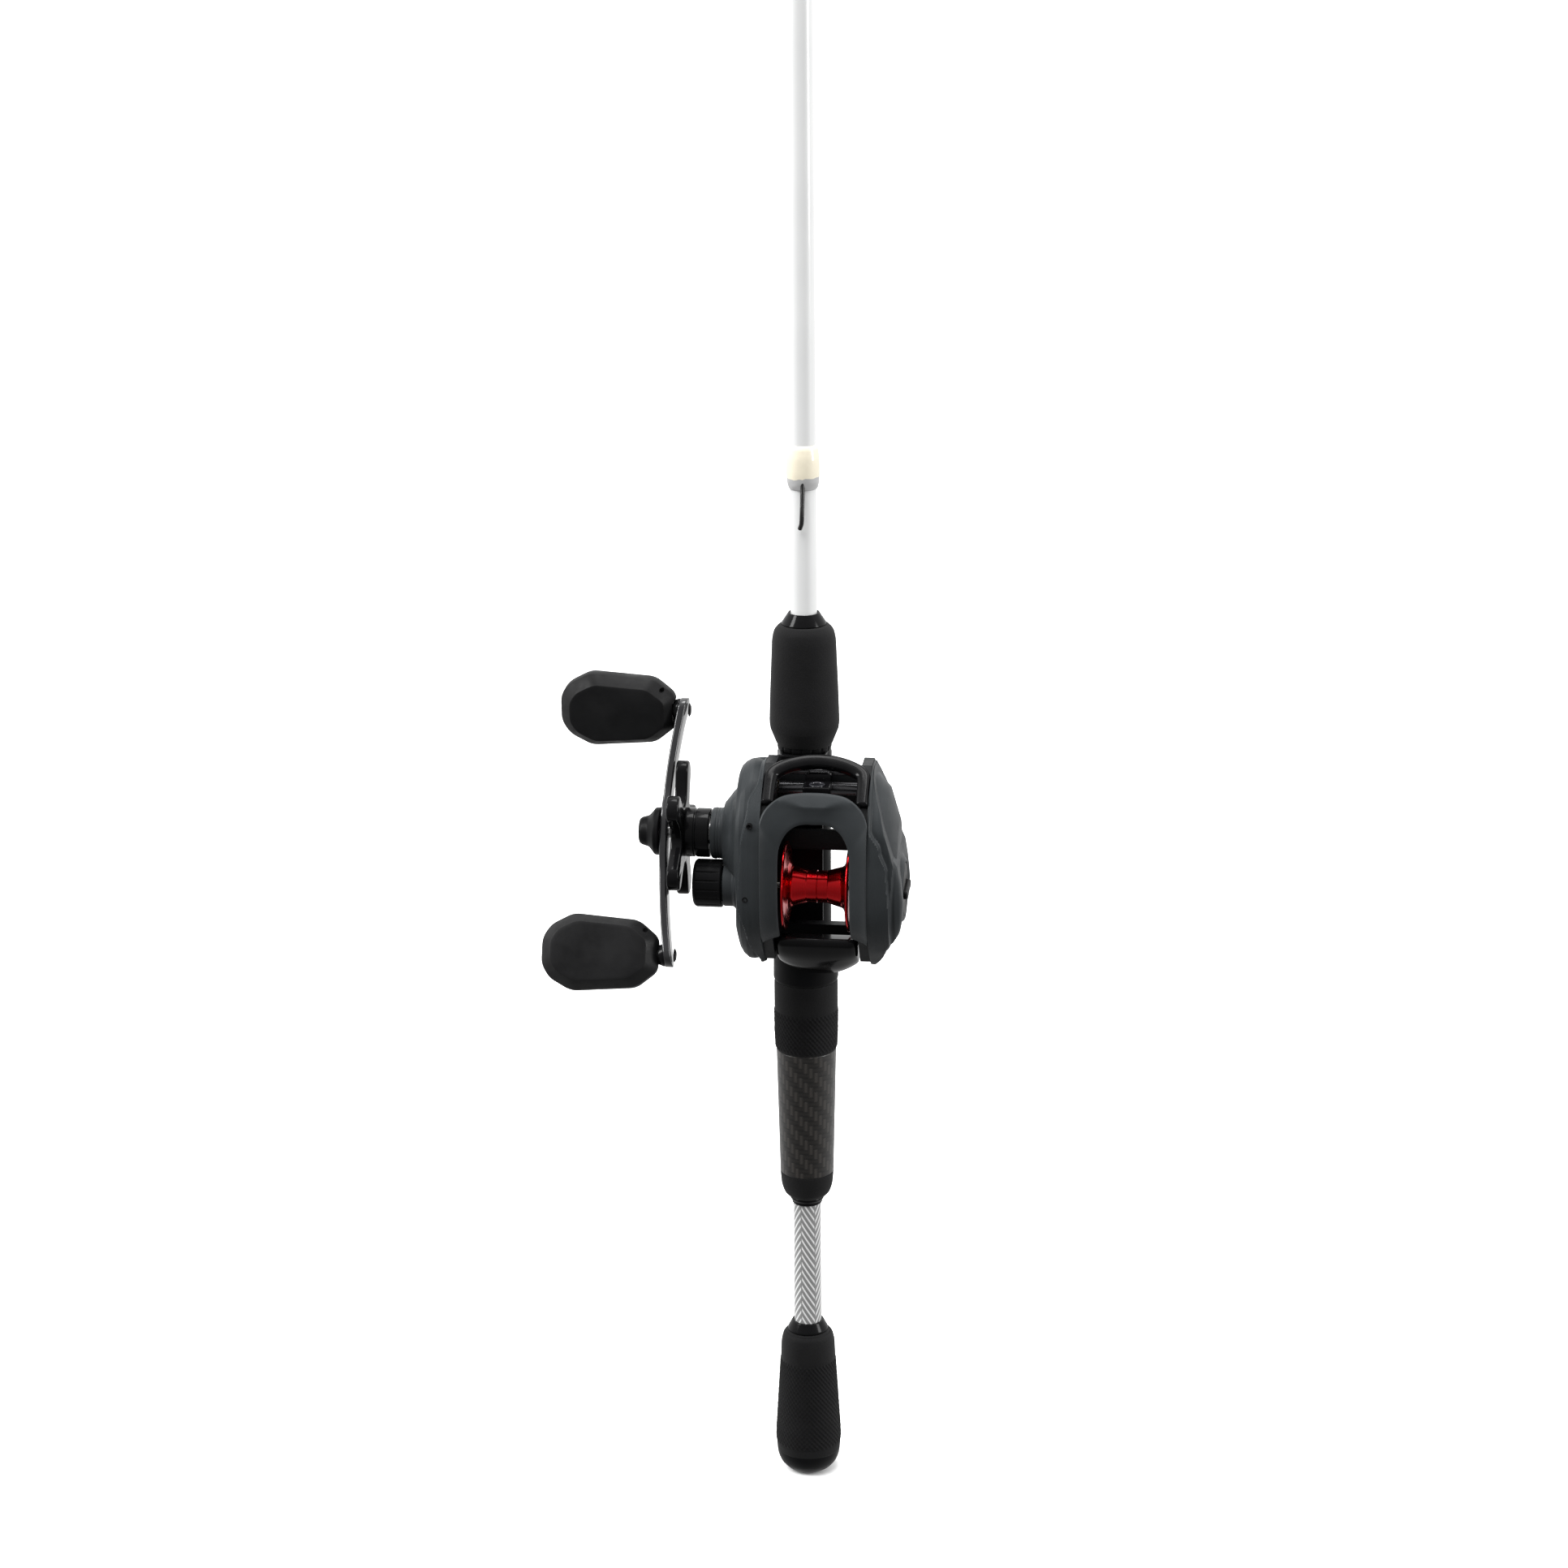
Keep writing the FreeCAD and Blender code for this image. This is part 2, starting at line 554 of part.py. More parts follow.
# ---------------------------------------------------------------- reel frame and shells
def make_frame():
    outer = size("wall_outer")
    inner = size("wall_inner")
    low = size("frame_bottom")
    left = slab(frame_outline(), -outer, -inner)
    right = slab(frame_outline(), inner + 0.5, outer + 0.4)
    front_deck = box((-inner, inner + 0.5), (low - 4.5, low - 0.5), (21, size("frame_front") * 0.9))
    back_deck = box((-inner, inner + 0.5), (low - 5, low - 0.5), (-size("frame_back") * 0.98, -20))
    posts = [bar(1.3, -outer - 5.6, -outer, y=spread, z=-8) for spread in (-6, 6)]
    holes = [
        bar(6.02, -outer - 1, -inner - 0.5),
        bar(3.4, -outer - 1, -inner + 1),
        bar(size("flange_radius") + 0.8, inner, outer + 1),
        bar(4.02, -outer - 1, -inner + 1, DRIVE),
        bar(3.02, -outer - 1, -inner + 1, WORM),
        bar(3.02, inner, outer + 1, WORM),
        bar(1.2, -outer - 1, outer + 1, RAIL),
        box((-outer - 1, -inner + 1), (low - 0.7, low + 1), (31, 52)),
    ]
    for y, z in SCREW_SPOTS:
        holes.append(bar(1.12, -outer - 1, -inner - 0.5, y=y, z=z))
        holes.append(bar(1.12, inner + 1, outer + 1, y=y, z=z))
    for height in (-24, 30):
        holes.append(bar(1.52, low - 3, low, axis="Y", x=-size("reel_shift"), z=height))
    frame = node("reel_frame", cut(fuse(left, right, front_deck, back_deck, *posts), *holes))

    shift_x = -size("reel_shift")
    foot_y = size("spool_height") - FOOT_TOP
    plate = box((shift_x - FOOT_HALF, shift_x + FOOT_HALF), (foot_y, foot_y + 2.3), (FOOT_LOW, FOOT_HIGH))
    pads = [box((shift_x - 7, shift_x + 7), (low - 0.5, foot_y), span) for span in ((-27, -20.5), (22, 31))]
    foot_holes = [bar(1.52, low - 1, foot_y + 3, axis="Y", x=shift_x, z=height) for height in (-24, 30)]
    node("reel_foot", cut(fuse(plate, *pads), *foot_holes))
    node("foot_screws", group(*[
        bar(1.5, low - 2.8, foot_y + 2.2, axis="Y", x=shift_x, z=height) for height in (-24, 30)]))

    band_top = size("plate_top") - size("frame_top")
    front = size("frame_front")
    top = size("frame_top")
    back = size("frame_back")
    under = [(-top * 0.4, front * 0.855), (-top * 0.85, front * 0.62), (-top, front * 0.21),
             (-top, -back * 0.14), (-top * 0.7, -back * 0.57)]
    over = [(-top * 0.66 - band_top, -back * 0.62), (-top - band_top, -back * 0.2),
            (-top - band_top, front * 0.23), (-top * 0.87 - band_top, front * 0.66),
            (-top * 0.46 - band_top * 0.8, front * 0.895)]
    shell = slab(under + over, -outer, outer + 0.4)
    arch = slab([
        (-13.4, -30), (13.8, -30), (13.8, front * 0.5), (6, front * 0.655, (11.6, front * 0.612)),
        (-5.6, front * 0.655), (-13.4, front * 0.5, (-11.2, front * 0.612))], -30, 40, axis="Y")
    hood = node("top_hood", cut(shell, arch))

    legs = 19.6
    bow = slab([
        (-legs, 0), (-legs + 4, 0), (-14.2, 7.4, (-15.2, 3.6)), (14.2, 7.4, (0, 14.2)),
        (legs - 4, 0, (15.2, 3.6)), (legs, 0), (18.6, 9.6, (19.4, 5)), (12.6, 15.6, (16.4, 13)),
        (-12.6, 15.6, (0, 19.2)), (-18.6, 9.6, (-16.4, 13))],
        -2.1, 2.1, shift(REEL, 0.2, -9.4, 38.6), "Z", Rotation(Vector(1, 0, 0), 36))
    node("front_rail", cut(bow, frame, hood))


def make_handle_plate():
    outer = size("wall_outer")
    end = size("handle_plate_end")
    rim = -outer - 5.5
    stations = [(-outer, 1), (rim, 0.985), (-end, 0.86)]
    skin = lofted(plate_outline(), stations)
    hollow = lofted(plate_outline(), [(-outer, 0.93), (rim, 0.915), (-end + 1.6, 0.8)])
    drive_room = bar(17.5, -end + 2, -outer + 1, DRIVE)
    drag_room = bar(13.2, -end - 2, -outer, DRIVE)
    worm_room = bar(8, -outer - 3, -outer + 1, WORM)
    pillars = [bar(3.2, -end + 1, -outer, y=y, z=z) for y, z in SCREW_SPOTS]
    pillars = common(fuse(*pillars), lofted(plate_outline(), stations))
    steps = [bar(16, -end - 3.4, -end + 1, DRIVE), bar(12, -end - 6, -end, DRIVE),
             bar(9.6, -end - 11.4, -end, DRIVE), bar(8.7, -end - 6.4, -end + 1), bar(6.6, -end - 14.6, -end)]
    shell = fuse(cut(skin, hollow), pillars, *steps)
    bores = [bar(7.02, -end - 11, -end, DRIVE), bar(5.2, -end - 12, -end, DRIVE),
             bar(4.45, -end - 12.5, -end + 3), bar(size("shaft_radius") + FREE_GAP, -end - 16, -end)]
    for y, z in SCREW_SPOTS:
        bores.append(bar(1.12, -end - 2, -outer + 1, y=y, z=z))
        bores.append(bar(2.1, -end - 2, -end + 5.3, y=y, z=z))
    node("handle_side_plate", cut(shell, drag_room, drive_room, worm_room, *bores))


def make_palm_plate():
    start = size("wall_outer") + 0.4
    end = size("palm_plate_end")
    stations = [(start, 1), (start + 5.6, 0.97), (start + 10.1, 0.84), (end - 1.6, 0.66), (end, 0.52)]
    dome = lofted(plate_outline(), stations)
    cave = lofted(plate_outline(), [(start, 0.93), (start + 5, 0.9), (start + 8.9, 0.78), (end - 3.4, 0.6)])
    plug = tube(size("flange_radius") + 0.5, size("flange_radius") - 1.5, start - 2.4, start + 1)
    web = tube(21.5, 3 + RUNNING_GAP, start + 1, start + 4)
    posts = [bar(3.2, start, start + 9, y=y, z=z) for y, z in SCREW_SPOTS]
    dial_floor = tube(11.8, 3 + RUNNING_GAP, end - 4.2, end - 1)
    inside = common(fuse(web, dial_floor, *posts), lofted(plate_outline(), stations))
    shell = fuse(cut(dome, cave), inside, plug)
    bores = [bar(10.6, end - 2.4, end + 1), bar(4.02, start - 3, start + 2.5),
             bar(3 + RUNNING_GAP, start + 1, end + 1)]
    for y, z in SCREW_SPOTS:
        bores.append(bar(1.12, start - 1, end, y=y, z=z))
        bores.append(bar(2.1, start + 4.8, end, y=y, z=z))
    node("palm_side_plate", cut(shell, *bores))
    handle_end = -size("handle_plate_end")
    node("side_plate_screws", group(
        screws(handle_end + 3.7, -size("wall_inner") - 0.6, handle_end + 3.7, handle_end + 5.2),
        screws(size("wall_inner") + 1.1, start + 4.9, start + 4.9, start + 6.4)))


# ---------------------------------------------------------------- gears
PRESSURE = math.radians(25)
BACKLASH = 0.05


def tooth_outline(teeth, module, turn):
    """Points of an involute gear in the YZ plane, its first tooth centred at angle turn."""
    pitch = teeth * module / 2
    base = pitch * math.cos(PRESSURE)
    tip = pitch + 0.88 * module
    root = pitch - 1.12 * module

    def half_angle(radius):
        at_pitch = (math.pi * module / 2 - BACKLASH) / (2 * pitch)
        spread = math.acos(min(1.0, base / radius))
        involute = math.tan(spread) - spread
        return at_pitch + math.tan(PRESSURE) - PRESSURE - involute

    start = max(base, root)
    radii = [start + (tip - start) * step / 4 for step in range(5)]
    points = []
    for tooth in range(teeth):
        centre = turn + 2 * math.pi * tooth / teeth
        flank = [(root, half_angle(start))] if root < base else []
        flank += [(radius, half_angle(radius)) for radius in radii]
        for radius, half in flank:
            points.append((radius, centre - half))
        for radius, half in reversed(flank):
            points.append((radius, centre + half))
    return [Vector(0, radius * math.cos(angle), radius * math.sin(angle)) for radius, angle in points]


def gear(teeth, module, turn, low, high, bore, spot):
    """A spur gear about an axis along X, from low to high along the reel's X."""
    outline = tooth_outline(teeth, module, turn)
    face = Part.Face(Part.makePolygon(outline + outline[:1]))
    solid = face.extrude(Vector(high - low, 0, 0))
    hole = Part.makeCylinder(bore, high - low + 2, Vector(-1, 0, 0), Vector(1, 0, 0))
    feature = fresh("Part::Feature")
    feature.Shape = solid.cut(hole)
    return place(feature, shift(spot, low))


def make_drive_train():
    module = size("spool_module").value
    wind = size("wind_module").value
    shaft = size("shaft_radius")
    to_pinion = math.atan2(-DRIVE_AHEAD.value, -DRIVE_DOWN.value)
    to_worm = math.atan2((WORM_AHEAD - DRIVE_AHEAD).value, WORM_RISE.value)
    node("main_gear", gear(SPOOL_TEETH[0], module, to_pinion, -27, -23.5, 3.4, DRIVE))
    pinion_turn = to_pinion + math.pi + math.pi / SPOOL_TEETH[1]
    toothed = gear(SPOOL_TEETH[1], module, pinion_turn, -28, -21.5, (shaft + RUNNING_GAP).value, REEL)
    bore = shaft + RUNNING_GAP
    sleeve = turned([
        (-21.5, bore), (-21.5, 2.6), (-21.35, 2.6), (-21.35, 1.95), (-20.45, 1.95), (-20.45, 2.9),
        (-15.5, 2.9), (-15.5, bore)])
    slot = box((-16.8, -15), (-0.65, 0.65), (-3, 3))
    node("pinion_gear", cut(fuse(toothed, sleeve), slot))
    node("idler_gear", gear(WIND_TEETH[0], wind, to_worm, -22.3, -20.9, 3.4, DRIVE))
    worm_turn = to_worm + math.pi + math.pi / WIND_TEETH[1]
    node("worm_gear", gear(WIND_TEETH[1], wind, worm_turn, -22.2, -20.9, 1.5, WORM))
    node("drive_shaft", turned([
        (-62.5, 0), (-16.2, 0), (-16.2, 2.5), (-20.2, 2.5), (-20.2, 3.4), (-54.8, 3.4), (-54.8, 2.4),
        (-62.5, 2.4)], "X", DRIVE))
    node("drag_washers", group(
        tube(12, 3.45, -27.8, -27.05, DRIVE), tube(12, 3.45, -28.7, -27.9, DRIVE),
        tube(12.4, 3.45, -30.4, -28.9, DRIVE)))
    node("clutch_sleeve", tube(4.5, 3.4, -46, -30.6, DRIVE))
    node("anti_reverse_bearing", tube(7, 4.5 + RUNNING_GAP, -40.3, -31.6, DRIVE))
    node("bushings", group(
        tube(4, 2.5 + RUNNING_GAP, -19.9, -16.1, DRIVE), tube(3, 1.5 + RUNNING_GAP, -19.9, -16.1, WORM),
        tube(3, 1.5 + RUNNING_GAP, 16.6, 20.3, WORM)))


def make_spool():
    half = size("spool_half")
    flange = size("flange_radius")
    arbor = size("arbor_radius")
    shaft = size("shaft_radius")
    slope = half - 3.3
    node("spool", turned([
        (-half, arbor + 1.5), (-half, flange), (-half + 1.1, flange), (-slope, arbor),
        (slope, arbor, (0, size("arbor_waist"))), (half - 1.1, flange), (half, flange), (half, arbor + 1.5),
        (half - 1.7, 6), (3, 4.2), (3, shaft), (-3, shaft), (-3, 4.2), (-half + 1.7, 6)]))
    node("spool_shaft", fuse(bar(shaft, -44.6, 23.2), bar(0.5, -2.6, 2.6, axis="Z", x=-16.1)))
    fit = shaft + RUNNING_GAP
    node("spool_bearings", group(
        tube(4, fit, 20.5, 22.9), tube(4.4, fit, -41.8, -39.4), tube(6, 2.9 + RUNNING_GAP, -19.8, -16.5)))
    node("cast_control_cap", turned([
        (-36.2, 6.9), (-36.2, 9.2), (-46.7, 9.2), (-47.5, 8.4, (-47.3, 9.0)), (-47.5, 0), (-45.8, 0),
        (-45.8, 6.9)]))
    node("brake_magnets", tube(14, 8, 15.2, 17))
    stem = turned([
        (23.5, 0), (23.5, 3), (33.3, 3), (33.3, 10.3), (35.3, 10.3), (35.9, 9.6), (35.9, 0)])
    finger_bar = box((34.6, 37), (-8.6, 8.6), (-1.5, 1.5))
    node("brake_dial", fuse(stem, finger_bar))


def make_clutch():
    node("clutch_yoke", cut(slab([
        (-8.5, -10.4), (8.5, -10.4), (8.5, -5.5), (4.6, -4.6), (4.6, 2.5), (2.15, 2.5), (2.15, 0),
        (-2.15, 0, (0, -2.15)), (-2.15, 2.5), (-4.6, 2.5), (-4.6, -4.6), (-8.5, -5.5)], -21.25, -20.55),
        bar(1.4, -22, -20, y=-6, z=-8), bar(1.4, -22, -20, y=6, z=-8)))
    node("yoke_springs", group(*[tube(2.1, 1.35, -25.4, -23, y=y, z=-8) for y in (-6, 6)]))
    node("clutch_cam", slab([(-4, -25), (0, -27), (6, -27), (6, -11.6), (-4, -11.6)], -22, -20.3))
    node("thumb_bar", slab([
        (-9, -17.8), (-2, -18.6), (4, -24), (8, -33), (7.6, -36.6, (8.2, -35)), (3, -36, (5.4, -37)),
        (-6, -28), (-10.5, -20.5)], -15.3, 15.3))


def make_level_wind():
    node("worm_shaft", turned([
        (-22.3, 0), (19.6, 0), (19.6, 1.5), (15.4, 1.5), (15.4, 2.6), (-15.4, 2.6), (-15.4, 1.5),
        (-22.3, 1.5)], "X", WORM))
    node("guide_rod", bar(1.2, -19.8, 20.2, RAIL))
    block = box((-4.2, 4.2), (3.5, 12.3), (32.6, 45))
    face = box((-5.2, 5.2), (-6.5, 3.5), (38.2, 41.2))
    eye = bar(3, 38, 42, axis="Z", y=-2.6)
    pawl_hole = bar(1.52, 8, 13, (REEL[0], REEL[1], WORM[2]), "Y")
    node("line_guide", cut(
        fuse(block, face), eye, bar(2.95, -6, 6, WORM), bar(1.2 + RUNNING_GAP, -6, 6, RAIL), pawl_hole))
    node("line_guide_insert", cut(
        bar(3, 37.9, 41.5, axis="Z", y=-2.6), bar(2.15, 37, 42, axis="Z", y=-2.6)))
    node("pawl", bar(1.5, 10.95, 12.2, (REEL[0], REEL[1], WORM[2]), "Y"))


# ---------------------------------------------------------------- handle
def lean():
    return Rotation(Vector(1, 0, 0), -size("crank_lean").value)


def crank_end(side):
    """The handle's end on one side, measured from the drive shaft."""
    reach = size("crank_radius").value * side
    angle = math.radians(size("crank_lean").value)
    return shift(DRIVE, 0, reach * math.sin(angle), reach * math.cos(angle))


def knob_outline():
    """The paddle's outline in plan: along its spindle, and across."""
    start = as_size(-56.3)
    end = start - size("knob_length")
    half = size("knob_width") * 0.5
    return [(start, -half * 0.56), (start, half * 0.56), (start - 5, half * 0.9),
            (start - 18, half, (start - 10, half * 0.99)), (end + 8, half * 0.93),
            (end, half * 0.4, (end + 2.2, half * 0.76)), (end, -half * 0.4),
            (end + 8, -half * 0.93, (end + 2.2, -half * 0.76)), (start - 18, -half),
            (start - 5, -half * 0.9, (start - 10, -half * 0.99))]


def make_handle():
    reach = size("crank_radius") + 4.6
    inner = -50.6
    outer = -53.6
    bow = -55.2
    node("handle_arm", cut(slab([
        (inner, reach, (bow, 0)), (outer, reach), (outer, -reach, (bow - 3, 0)), (inner, -reach)],
        -5.2, 5.2, DRIVE, "Y", lean()), bar(2.4, -60, -50, DRIVE),
        *[bar(2.2, -60, -50, crank_end(side)) for side in (1, -1)]))
    hexagon = [(4.6 * math.cos(math.radians(60 * side)), 4.6 * math.sin(math.radians(60 * side)))
               for side in range(6)]
    node("handle_nut", cut(slab(hexagon, -61, -58.3, DRIVE), bar(2.4, -62, -58, DRIVE)))
    node("nut_cap", turned([
        (-58.3, 5), (-58.3, 9.2), (-60.4, 9), (-62.6, 6.4), (-63.6, 5.8), (-66, 5), (-66.7, 4.2),
        (-66.7, 0), (-63, 0), (-63, 5)],
        "X", DRIVE))
    node("knob_pins", group(*[bar(2.2, -96, -52, crank_end(side)) for side in (1, -1)]))
    thick = size("knob_thickness")
    for label, side, tilt in (("upper_knob", 1, 8), ("lower_knob", -1, -14)):
        turn = Rotation(Vector(1, 0, 0), tilt)
        paddle = slab(knob_outline(), thick * -0.5, thick * 0.5, crank_end(side), "Y", turn)
        node(label, cut(paddle, bar(2.2 + RUNNING_GAP, -96.3, -50, crank_end(side))))


def make_star():
    hub = turned([
        (-48.6, 3.4 + RUNNING_GAP), (-46.3, 3.4 + RUNNING_GAP), (-46.3, 4.8), (-41.3, 4.8), (-41.3, 9.5),
        (-48.6, 9.5)], "X", DRIVE)
    reach = size("star_radius")
    arms = []
    for arm in range(5):
        turn = Rotation(Vector(1, 0, 0), 72 * arm - 22)
        arms.append(slab([
            (-4.6, 5), (4.6, 5), (5.2, reach - 4), (-5.2, reach - 4, (0, reach + 1.6))],
            -51.6, -48.6, DRIVE, "X", turn))
    disc = bar(9.5, -51.6, -48.6, DRIVE)
    node("star_drag", cut(fuse(hub, disc, *arms), bar(3.4 + RUNNING_GAP, -53, -46.5, DRIVE)))


make_rod()
make_seat()
make_keeper()
make_guides()
make_frame()
make_handle_plate()
make_palm_plate()
make_drive_train()
make_spool()
make_clutch()
make_level_wind()
make_handle()
make_star()
doc.recompute()

faults = [thing.Name for thing in doc.Objects if "Invalid" in thing.State or "Error" in thing.State]
for part in nodes:
    shape = part.Shape
    if shape.isNull() or not shape.isValid() or not shape.Solids:
        faults.append(part.Label)
if faults:
    raise SystemExit("failed objects: %s" % faults)

os.makedirs("parts", exist_ok=True)
for part in nodes:
    part.Shape.exportStep(os.path.join("parts", part.Label + ".step"))
print("%d nodes, %d solids" % (len(nodes), sum(len(part.Shape.Solids) for part in nodes)))
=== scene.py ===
import math

import bmesh
import bpy
from mathutils import Matrix, Vector


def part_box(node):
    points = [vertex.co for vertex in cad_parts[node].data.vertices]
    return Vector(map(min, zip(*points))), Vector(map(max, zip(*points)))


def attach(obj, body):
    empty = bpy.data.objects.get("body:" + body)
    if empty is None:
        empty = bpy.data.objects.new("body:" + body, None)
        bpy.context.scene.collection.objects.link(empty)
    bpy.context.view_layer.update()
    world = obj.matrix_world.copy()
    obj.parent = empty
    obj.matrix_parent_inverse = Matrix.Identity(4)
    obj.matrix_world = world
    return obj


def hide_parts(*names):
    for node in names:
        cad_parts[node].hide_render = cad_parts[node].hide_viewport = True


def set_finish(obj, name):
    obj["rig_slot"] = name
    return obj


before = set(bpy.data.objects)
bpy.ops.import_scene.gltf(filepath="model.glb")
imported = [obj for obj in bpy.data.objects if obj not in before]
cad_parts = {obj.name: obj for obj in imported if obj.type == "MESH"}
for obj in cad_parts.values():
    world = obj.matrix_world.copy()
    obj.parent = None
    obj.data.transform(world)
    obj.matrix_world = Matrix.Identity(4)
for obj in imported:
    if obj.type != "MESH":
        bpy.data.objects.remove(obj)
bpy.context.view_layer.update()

MM = 0.001
TAU = 2 * math.pi


# ---------------------------------------------------------------- places taken from the frame
def span(node, axis):
    low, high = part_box(node)
    return low[axis] / MM, high[axis] / MM


def middle(node, axis):
    low, high = span(node, axis)
    return (low + high) / 2


def on_axis(node):
    """A node's middle in y and z, at the spool's middle in x."""
    return Vector((middle("spool", 0), middle(node, 1), middle(node, 2)))


REEL, DRIVE, WORM, GUIDE_ROD = (on_axis(node) for node in ("spool", "nut_cap", "worm_shaft", "guide_rod"))
AXIS_X = Matrix(((0, 0, 1), (1, 0, 0), (0, 1, 0)))      # lathe axis to +X, first radius to +Y
AXIS_LEFT = Matrix(((0, 0, -1), (1, 0, 0), (0, 1, 0)))  # lathe axis to -X
AXIS_FRONT = Matrix(((1, 0, 0), (0, 0, -1), (0, 1, 0)))  # lathe axis to -Y
AXIS_Z = Matrix.Identity(3)


# ---------------------------------------------------------------- materials
def new_material(name):
    made = bpy.data.materials.new(name)
    made.use_nodes = True
    shader = made.node_tree.nodes["Principled BSDF"]
    return made, made.node_tree, shader


def settle(node, **values):
    """Set a node's attributes, or its sockets by name with underscores for spaces."""
    for key, value in values.items():
        if hasattr(node, key):
            setattr(node, key, value)
        else:
            node.inputs[key.replace("_", " ")].default_value = value
    return node


def add(tree, kind, **values):
    return settle(tree.nodes.new(kind), **values)


def calc(operation, first, second=None):
    """Add a math node to the tree of its first value, which is a socket."""
    tree = first.id_data
    made = add(tree, "ShaderNodeMath", operation=operation)
    for socket, value in zip(made.inputs, (first, second)):
        if value is None:
            continue
        if hasattr(value, "is_linked"):
            tree.links.new(value, socket)
        else:
            socket.default_value = value
    return made.outputs[0]


def place_sockets(tree):
    """Sockets for x, y and z in the object's own frame, in metres."""
    coordinates = tree.nodes.new("ShaderNodeTexCoord")
    split = tree.nodes.new("ShaderNodeSeparateXYZ")
    tree.links.new(coordinates.outputs["Object"], split.inputs[0])
    return coordinates.outputs["Object"], split.outputs


def ramp(tree, factor, stops):
    made = tree.nodes.new("ShaderNodeValToRGB")
    while len(made.color_ramp.elements) < len(stops):
        made.color_ramp.elements.new(0.5)
    for element, (position, colour) in zip(made.color_ramp.elements, stops):
        element.position = position
        element.color = (*colour, 1) if len(colour) == 3 else colour
    tree.links.new(factor, made.inputs[0])
    return made.outputs[0]


def noise(tree, vector, scale, detail=4.0, rough=0.55):
    made = add(tree, "ShaderNodeTexNoise", Scale=scale, Detail=detail, Roughness=rough)
    tree.links.new(vector, made.inputs["Vector"])
    return made.outputs["Fac"]


def bump(tree, shader, height, distance, strength=1.0):
    made = add(tree, "ShaderNodeBump", Strength=strength, Distance=distance)
    tree.links.new(height, made.inputs["Height"])
    tree.links.new(made.outputs[0], shader.inputs["Normal"])


def blend(tree, factor, first, second):
    """Mix two colours by a factor; each is a socket or an (r, g, b)."""
    made = add(tree, "ShaderNodeMix", data_type="RGBA")
    tree.links.new(factor, made.inputs[0])
    for socket, value in zip(made.inputs[6:8], (first, second)):
        if isinstance(value, tuple):
            socket.default_value = (*value, 1)
        else:
            tree.links.new(value, socket)
    return made.outputs[2]


def plain(name, colour, rough, metallic=0.0, coat=0.0, grain=(2500, 0.00002), vary=0.12,
          rough_vary=0.08, specular=0.5):
    """A moulded, painted or plated finish: fine grain, uneven colour and gloss, light handling marks."""
    made, tree, shader = new_material(name)
    spot, _ = place_sockets(tree)
    broad = noise(tree, spot, 60, 3)
    dark = [channel * (1 - vary) for channel in colour]
    light = [min(1, channel * (1 + vary) + 0.002) for channel in colour]
    tree.links.new(ramp(tree, broad, [(0.3, dark), (0.7, light)]), shader.inputs["Base Color"])
    smudge = noise(tree, spot, 180, 5, 0.65)
    low = max(0.02, rough - rough_vary)
    high = min(1, rough + rough_vary)
    spread = ramp(tree, smudge, [(0.35, (low,) * 3), (0.7, (high,) * 3)])
    tree.links.new(spread, shader.inputs["Roughness"])
    bump(tree, shader, noise(tree, spot, grain[0], 2), grain[1])
    settle(shader, Metallic=metallic, Coat_Weight=coat, Coat_Roughness=0.05, Specular_IOR_Level=specular)
    return made


def foam(name):
    """Black EVA: closed-cell foam with fine pores and a faint dusty sheen."""
    made, tree, shader = new_material(name)
    spot, _ = place_sockets(tree)
    cells = add(tree, "ShaderNodeTexVoronoi", Scale=1500.0)
    tree.links.new(spot, cells.inputs["Vector"])
    dust = noise(tree, spot, 90, 6, 0.7)
    pores = noise(tree, spot, 2600, 3)
    shade = calc("ADD", calc("MULTIPLY", dust, 0.6), calc("MULTIPLY", pores, 0.4))
    colour = ramp(tree, shade, [(0.3, (0.0012, 0.0012, 0.0013)), (0.72, (0.0058, 0.0058, 0.0062))])
    tree.links.new(colour, shader.inputs["Base Color"])
    settle(shader, Roughness=0.74, Sheen_Weight=0.04, Sheen_Roughness=0.6, Specular_IOR_Level=0.12)
    height = calc("ADD", cells.outputs["Distance"], pores)
    bump(tree, shader, height, 0.00006, 0.7)
    return made


def angle_socket(places):
    """Angle round the Z axis in turns, from 0 to 1, seam at the back of the rod."""
    angle = calc("ARCTAN2", places[0], calc("MULTIPLY", places[1], -1.0))
    return calc("ADD", calc("DIVIDE", angle, TAU), 0.5)


